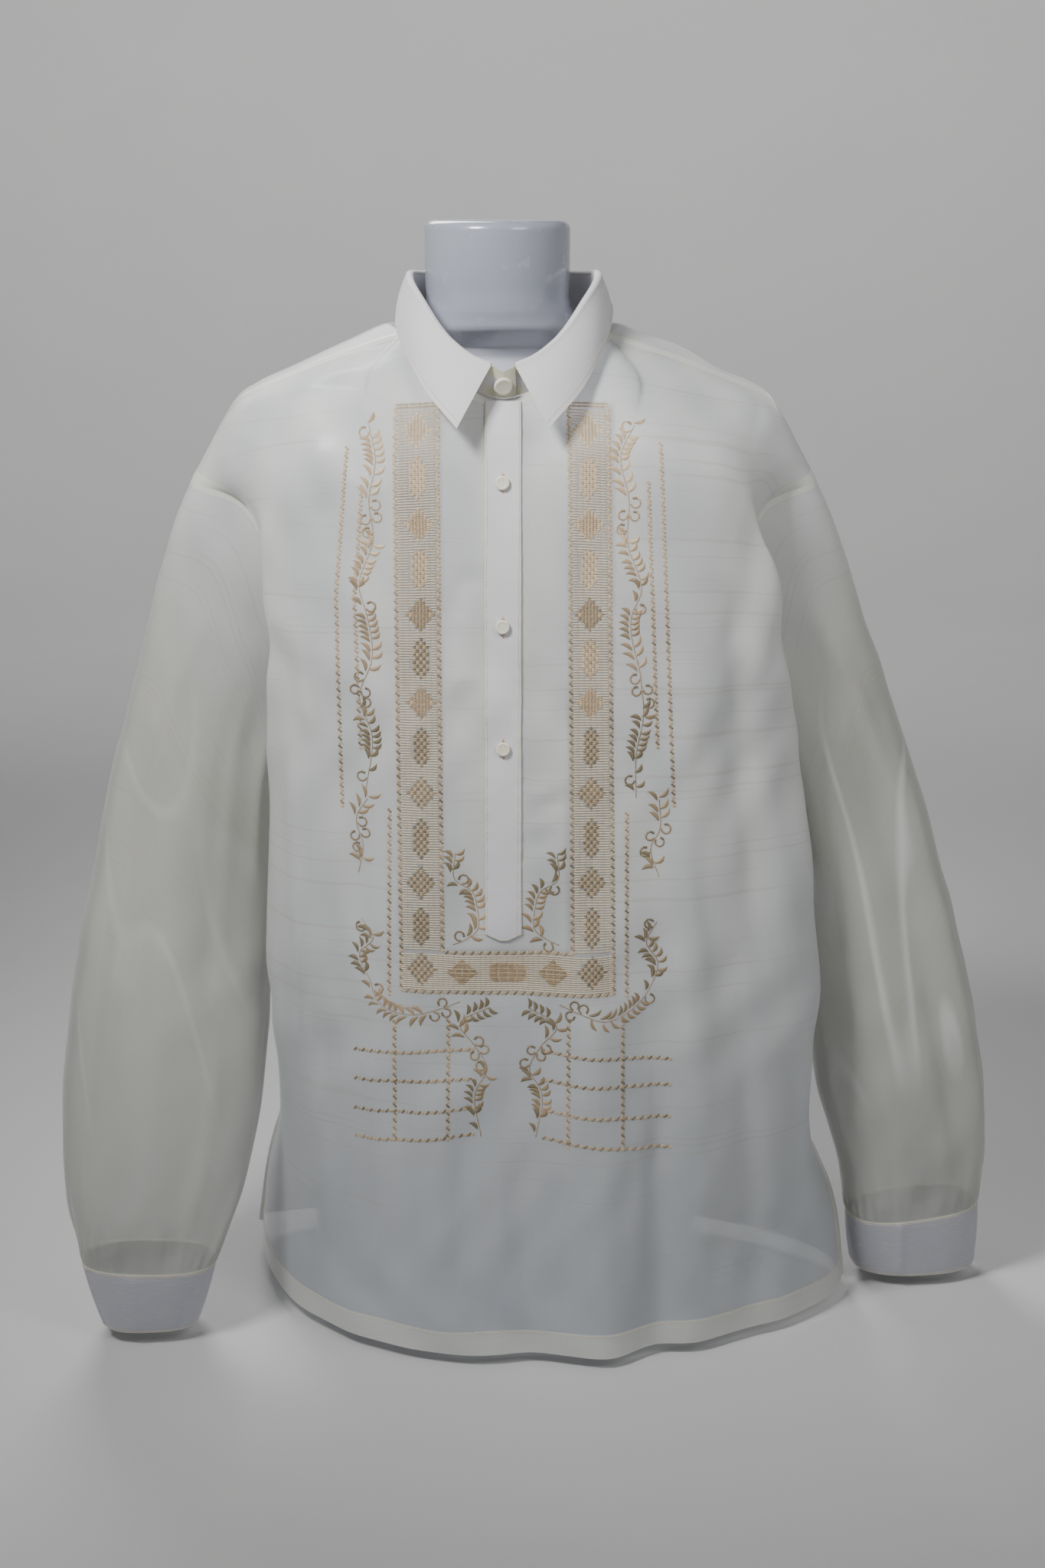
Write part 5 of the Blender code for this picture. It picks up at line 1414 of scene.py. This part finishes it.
def woven(motif):
    """A lattice of dark and cream cells in a diamond or a longer, six-sided shape."""
    tall = motif.kind in ("long", "light")
    for j in range(-5, 6):
        for i in range(-4, 5):
            inside = abs(i) <= 2 and abs(i) + abs(j) <= 5 if tall else abs(i) + abs(j) <= 4
            if not inside:
                continue
            spot = np.array([motif.x, motif.z]) + CELL * (i, j)
            dark = (i + j) % 2 == (1 if tall else 0)
            edge = abs(i) + abs(j) == (5 if tall else 4)
            uneven = 0.85 if (i * 3 + j) % 4 == 0 else 1.0
            shade = motif.shade * uneven if dark else 0.04 + motif.shade * 0.3
            if motif.kind == "light" and dark:
                # Painted shade: a small dark pad stands in for the shade seen through the hole beside each
                # dark cell of a light motif.
                hole = spot + (0.0006, -0.0006)
                sew(pads, hole - (0.0005, 0.0), hole + (0.0005, 0.0001), 0.0012, 0.0005, 0.62)
                shade = motif.shade
            if motif.kind == "strips" and not edge and abs(i) <= 2:
                shade = 0.4 * motif.shade + 0.25
            half = np.array([0.00125, 0.0002 if dark else -0.0002])
            for shift in (-0.00066, 0.00066):
                across = spot + (0.0, shift)
                sew(pads, across - half, across + half, 0.00135, 0.00042 if dark else 0.00036, shade)
    if motif.kind == "strips":
        for i in range(-2, 3):
            reach = CELL[1] * (3.7 - abs(i))
            for part in np.linspace(-1.0, 1.0, 5)[:-1]:
                x = motif.x + CELL[0] * i
                sew(threads, (x, motif.z + reach * part), (x, motif.z + reach * (part + 0.52)),
                    0.0011, 0.00075, motif.shade * 0.55)


def ladder(z_from, z_to, pitch, left_at, right_at, rise):
    """Drawn threads across a band, left out where a woven motif covers them."""
    for z in np.arange(z_from, z_to, -pitch):
        left, right = left_at(z), right_at(z)
        places = np.linspace(left, right, max(2, int((right - left) / 0.004)) + 1)
        tilt = rise * smooth(np.array((z - 0.58) / 0.16))
        for x, after in zip(places[:-1], places[1:]):
            if any(in_motif(motif, (x + after) / 2, z) for motif in MOTIFS):
                continue
            low = z + tilt * ((x - left) / (right - left) - 0.5)
            high = z + tilt * ((after - left) / (right - left) - 0.5)
            sew(threads, (x - 0.0002, low), (after + 0.0002, high), 0.00105, 0.00055, -0.04)


def line_at(line):
    """x on a nearly upright line, for a height."""
    slope = (line.x_to - line.x_from) / (line.z_from - line.z_to)
    return lambda z: line.x_from + slope * (line.z_from - z)


def curl(spot, toward, mirror, radius, shade):
    """An open ring of short stitches that starts at the stem and ends in a darker knot."""
    middle = spot + toward * (radius + 0.0010)
    first = math.atan2(-toward[1], -toward[0])
    turns = first + mirror * np.radians(np.linspace(0.0, 300.0, 12))
    ring = middle + radius * np.stack([np.cos(turns), np.sin(turns)], axis=1)
    for k in range(11):
        tone = shade + (0.35 if k > 8 else 0.0)
        sew(vine_threads, ring[k], ring[k + 1], 0.0017 + 0.0005 * (k > 8), 0.00065, tone)


def leaf_stitch(spot, toward, length, width, shade):
    sew(petals, spot + toward * 0.0006, spot + toward * length, width, 0.00055, shade)


def turned(vector, degrees):
    cosine, sine = math.cos(math.radians(degrees)), math.sin(math.radians(degrees))
    return np.array([vector[0] * cosine - vector[1] * sine, vector[0] * sine + vector[1] * cosine])


# The length, width and opening angle of each kind of leaf
LEAF_SIZES = {
    "pair": (0.0094, 0.0034, 58.0), "wide": (0.0114, 0.0034, 46.0),
    "fan": (0.0104, 0.0034, 75.0), "dark": (0.0100, 0.0037, 34.0),
}


def vine(places, number):
    """A stem with close leaves, larger leaf pairs, curls and sprays, in that order, again and
    again."""
    places = np.array(places)
    knots = np.concatenate([[0.0], np.cumsum(np.linalg.norm(np.diff(places, axis=0), axis=1))])
    count = int(knots[-1] / 0.0022)
    stem = curve_through(knots, places, np.linspace(0.0, knots[-1], count + 1))
    step = knots[-1] / count
    for k in range(count):
        sew(vine_threads, stem[k], stem[k + 1], 0.0009, 0.00040, 0.15 + 0.5 * tan_share(*stem[k]))
    order = (
        (0.002, "bud"), (0.006, "curl"), (0.0125, "pair"), (0.017, "pair"), (0.0215, "pair"),
        (0.026, "pair"), (0.0305, "pair"), (0.039, "wide"), (0.0465, "wide"), (0.054, "wide"),
        (0.061, "curl"), (0.069, "curls"), (0.080, "curl"), (0.085, "leaf"), (0.091, "fan"),
        (0.099, "pair"), (0.104, "pair"), (0.109, "pair"), (0.114, "pair"), (0.119, "pair"),
        (0.125, "dark"))
    cycle = 0.134
    start = 0.0 if number % 5 == 0 else 0.037 * (number % 5)
    for turn in range(-1, 4):
        for at, kind in order:
            along = at + turn * cycle - start % cycle
            if not 0.0 <= along < knots[-1] - 0.002:
                continue
            k = int(along / step)
            ahead = unit(stem[min(k + 1, count)] - stem[max(k - 1, 0)])
            spot = stem[k]
            side = 1.0 if (turn + int(at * 1000)) % 2 else -1.0
            tone = tan_share(*spot)
            if kind in ("pair", "wide", "fan", "dark"):
                length, width, open_by = LEAF_SIZES[kind]
                tone += {"dark": 0.35, "pair": 0.12}.get(kind, 0.0)
                for mirror in (-1.0, 1.0):
                    toward = turned(-ahead, mirror * open_by)
                    leaf_stitch(spot, toward, length, width, tone + 0.08 * mirror)
                if kind == "fan":
                    leaf_stitch(spot, turned(-ahead, 20.0 * side), length, width, tone)
            elif kind in ("bud", "leaf"):
                leaf_stitch(spot, turned(-ahead, 40.0 * side), 0.0095, 0.0034, tone + 0.22)
            elif kind == "curl":
                curl(spot, turned(ahead, 95.0 * side), side, 0.0036, tone)
            else:
                for mirror in (-1.0, 1.0):
                    curl(spot, turned(ahead, 85.0 * mirror), mirror, 0.0034, tone)


for line in CHAINS:
    chain(line)
for motif in MOTIFS:
    woven(motif)
for edges, rise in ((BAND_LEFT, 0.0022), (BAND_RIGHT, -0.0022)):
    left_at, right_at = line_at(edges[0]), line_at(edges[1])
    ladder(0.7535, 0.3450, LADDER_PITCH, lambda z: left_at(z) + 0.0018,
           lambda z: right_at(z) - 0.0018, rise)
    for fall in (0.0, 0.0022):
        x_from, x_to = edges[0].x_from, edges[1].x_from
        places = np.linspace(x_from, x_to, 14)
        heights = np.interp(places, (x_from, x_to), (edges[0].z_from, edges[1].z_from)) + 0.001 - fall
        for k in range(13):
            sew(threads, (places[k], heights[k]), (places[k + 1], heights[k + 1] + 0.0007), 0.0014, 0.0006,
                0.18 + 0.14 * (k % 2))
ladder(BAND_FOOT[0] - 0.0020, BAND_FOOT[1] + 0.0010, 0.0017, line_at(BAND_LEFT[0]),
       line_at(BAND_RIGHT[1]), 0.0)
for middle, kind, shade in (
        (-0.0320, "diamond", 0.45), (0.0030, "satin", 0.50), (0.0380, "diamond", 0.50)):
    for j in range(-8, 9):
        z = 0.3280 + j * 0.00118
        pointed = 0.0122 * (1.0 - abs(j) / 9.0)
        half = pointed if kind == "diamond" else min(0.0145, 0.0145 - 0.0016 * (abs(j) - 4))
        if kind == "satin" and abs(j) > 6:
            continue
        tone = shade + (0.22 if kind == "diamond" and j % 2 else 0.0)
        places = np.linspace(middle - half, middle + half, 2 if half < 0.003 else 5)
        for x, after in zip(places[:-1], places[1:]):
            sew(threads, (x - 0.0003, z), (after + 0.0003, z), 0.0016, 0.00065, tone)
for number, places in enumerate(VINES):
    vine(places, number)
embroidery = [
    lay_stitches("embroidery_threads", threads, THREAD),
    lay_stitches("embroidery_vines", vine_threads, THREAD),
    lay_stitches("embroidery_lattice", pads, PAD),
    lay_stitches("embroidery_leaves", petals, PETAL),
]


# Buttons: low domes covered in cream cloth with a soft rim, three down the placket, a larger flat
# one on the collar stand and one behind each cuff. The buttonholes' sewn ends show above and below.

BUTTON_RADIUS = 0.0055
STAND_BUTTON_RADIUS = 0.0072
BUTTON_THICK = 0.0028
BUTTON_HEIGHTS = (0.701, 0.596, 0.503)
BUTTON_GAP = 0.0005
CUFF_BUTTON_ANGLE = 215.0
BUTTON_FORM = (
    (0.0, 0.80), (0.02, 0.90), (0.18, 0.985), (0.42, 1.0), (0.66, 0.985), (0.84, 0.94), (0.95, 0.87),
    (0.99, 0.80), (0.97, 0.71), (0.91, 0.60), (0.87, 0.45), (0.86, 0.28), (0.86, 0.12), (0.86, 0.0))


def covered_cloth():
    """Cream cloth stretched over a button, pleated towards its back. Painted shade darkens its middle,
    leaving a lighter rim as a painted highlight.
    """
    made = Finish("covered_button_cloth")
    place = made.place()
    colour = made.mix((0.70, 0.67, 0.54), (0.80, 0.78, 0.66), made.noise(place, 260.0, 2.0))
    # Painted shade and highlight: the middle of the button is coloured darker than its rim, for the shade
    # in its shallow dish and the light along its rim.
    rim = made.step(made.stored("reach"), 0.62, 0.90)
    colour = made.mix(made.mix(colour, (0.60, 0.56, 0.43), 0.35), colour, rim)
    weave = made.noise(made.stretched(place, (2600.0, 1500.0, 1500.0)), 1.0, 1.0)
    made.finish(
        Base_Color=colour, Roughness=0.46 + weave * 0.12, Sheen_Weight=0.3, Sheen_Roughness=0.35,
        Specular_IOR_Level=0.45, Normal=made.bump(weave, 0.00018, 0.6))
    return made.material


def button(name, middle, facing, radius, dish=1.0):
    """One covered button on a flat back, with shallow pleats in the cloth round its edge."""
    facing = unit(np.asarray(facing, dtype=float))
    flat = unit(np.cross(facing, np.array([0.0, 0.0, 1.0])))
    up = np.cross(flat, facing)
    sides = 48
    turn = np.linspace(0.0, 2 * math.pi, sides, endpoint=False)
    spokes = np.cos(turn)[:, None] * flat + np.sin(turn)[:, None] * up
    points, reach = [], []
    for rise, wide in BUTTON_FORM:
        rise = rise if wide > 0.85 or rise < 0.5 else 0.99 - (0.99 - rise) * dish
        pleat = 1.0 + 0.012 * np.sin(turn * 14.0) * smooth(np.array((0.75 - rise) / 0.4))
        points.append(middle + facing * rise * BUTTON_THICK + spokes * (radius * wide * pleat)[:, None])
        reach += [wide] * sides
    rings = len(BUTTON_FORM)
    faces = [tuple(range(sides))[::-1]]
    for i in range(rings - 1):
        for k in range(sides):
            a, b = i * sides + k, i * sides + (k + 1) % sides
            faces.append((a, b, b + sides, a + sides))
    made = mesh_object("shirt_" + name, np.concatenate(points), faces, covered)
    bm = bmesh.new()
    bm.from_mesh(made.data)
    bmesh.ops.remove_doubles(bm, verts=bm.verts, dist=1e-6)
    bm.to_mesh(made.data)
    bm.free()
    kept = made.data.attributes.new("reach", "FLOAT", "POINT")
    away = [(np.array(v.co) - middle) for v in made.data.vertices]
    kept.data.foreach_set("value", [np.linalg.norm(v - facing * (v @ facing)) / radius for v in away])
    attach(made, "root")
    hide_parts(name)
    return up


covered = covered_cloth()
hole_ends = []
for number, z in enumerate(BUTTON_HEIGHTS, 1):
    place, normal = on_front(0.0, z)
    top = place + normal * (PLACKET_GAP + PLACKET_THICK)
    up = button(f"button_{number}", top + normal * BUTTON_GAP, normal, BUTTON_RADIUS)
    for side in (-1.0, 1.0):
        for shift in (-0.0006, 0.0, 0.0006):
            flat = np.cross(up, normal)
            near = top + up * side * 0.0050 + flat * shift * 1.3
            far = top + up * side * (0.0086 - abs(shift) * 1.5) + flat * shift * 0.5
            stitch_between(hole_ends, near, far, normal, 0.0010, 0.0008, 0.12)
stand_facing = unit(np.cross(stand[4, -1] - stand[4, -9], stand[8, -8] - stand[0, -8]))
place = stand[4, -8] + stand_facing * PLACKET_GAP
button("button_stand", place, stand_facing, STAND_BUTTON_RADIUS, 0.5)
for name, (cuff, normals, _) in cuffs.items():
    angle = sleeves[name][2]
    k = int(np.argmin(np.abs(np.degrees(angle) - CUFF_BUTTON_ANGLE)))
    i = CUFF_ROWS // 2
    button(name.replace("sleeve", "cuff_button"), cuff[i, k] + normals[i, k] * BUTTON_GAP, normals[i, k],
           BUTTON_RADIUS)
lay_stitches("buttonhole_ends", hole_ends, PETAL)


# Seam stitches: short cream stitches along the hem, the vents, the cuffs' edges, the collar leaf
# and both sides of the placket.

def line_on(grid, normals, along, at, axis):
    """The points and normals at one distance along every column (axis 0) or row (axis 1)."""
    if axis == 1:
        grid, normals, along = np.swapaxes(grid, 0, 1), np.swapaxes(normals, 0, 1), along.T
    points, outs = [], []
    for j in range(grid.shape[1]):
        points.append([np.interp(at, along[:, j], grid[:, j, k]) for k in range(3)])
        outs.append([np.interp(at, along[:, j], normals[:, j, k]) for k in range(3)])
    return np.array(points), unit(np.array(outs))


def seam(rows, points, outs, pitch=0.0031, part=0.68, width=0.00075, shade=-0.04):
    """Evenly spaced stitches along a line of points."""
    run = np.concatenate([[0.0], np.cumsum(np.linalg.norm(np.diff(points, axis=0), axis=1))])
    count = max(1, int(run[-1] / pitch))
    starts = np.arange(count) * run[-1] / count
    ends = starts + part * run[-1] / count
    first, second, out = (np.stack([np.interp(at, run, values[:, k]) for k in range(3)], axis=1)
                          for at, values in ((starts, points), (ends, points), (starts, outs)))
    for k in range(count):
        stitch_between(rows, first[k], second[k], out[k], width, 0.00040, shade)


hem_rows, trim_rows = [], []
for grid, facing in ((front, 1.0), (back, -1.0)):
    normals = grid_normals(grid, facing)
    down, across = lengths(grid, 0), lengths(grid, 1)
    seam(hem_rows, *line_on(grid, normals, down, HEM_DEPTH - 0.0018, 0))
    vent = int(np.argmin(np.abs(ROW_AT - VENT_TOP))) + 2
    for at in (across, across[:, -1:] - across):
        way = 1 if at is across else -1
        places = line_on(grid[:, ::way], normals[:, ::way],
                         at if at is across else at[:, ::-1], VENT_FACING - 0.002, 1)
        seam(hem_rows, places[0][4:vent], places[1][4:vent])
for cuff, normals, down in cuffs.values():
    closed_cuff = np.concatenate([cuff, cuff[:, :1]], axis=1)
    closed_normals = np.concatenate([normals, normals[:, :1]], axis=1)
    closed_down = np.concatenate([down, down[:, :1]], axis=1)
    for at in (0.0022, float(down[-1].min()) - 0.0022):
        seam(trim_rows, *line_on(closed_cuff, closed_normals, closed_down, at, 0), pitch=0.0024)
leaf_normals = unit(outward)[None] + np.zeros_like(leaf)
leaf_down = lengths(leaf[::-1], 0)
seam(trim_rows, *line_on(leaf[::-1], leaf_normals, leaf_down, 0.0045, 0), pitch=0.0024, shade=-0.10)
placket_normals = grid_normals(placket, 1.0)
across = lengths(placket, 1)
for at in (0.0016, float(across[:, -1].min()) - 0.0016):
    seam(trim_rows, *line_on(placket, placket_normals, across, at, 1), pitch=0.0024, shade=-0.10)
lay_stitches("hem_stitches", hem_rows, THREAD)
lay_stitches("trim_stitches", trim_rows, THREAD)
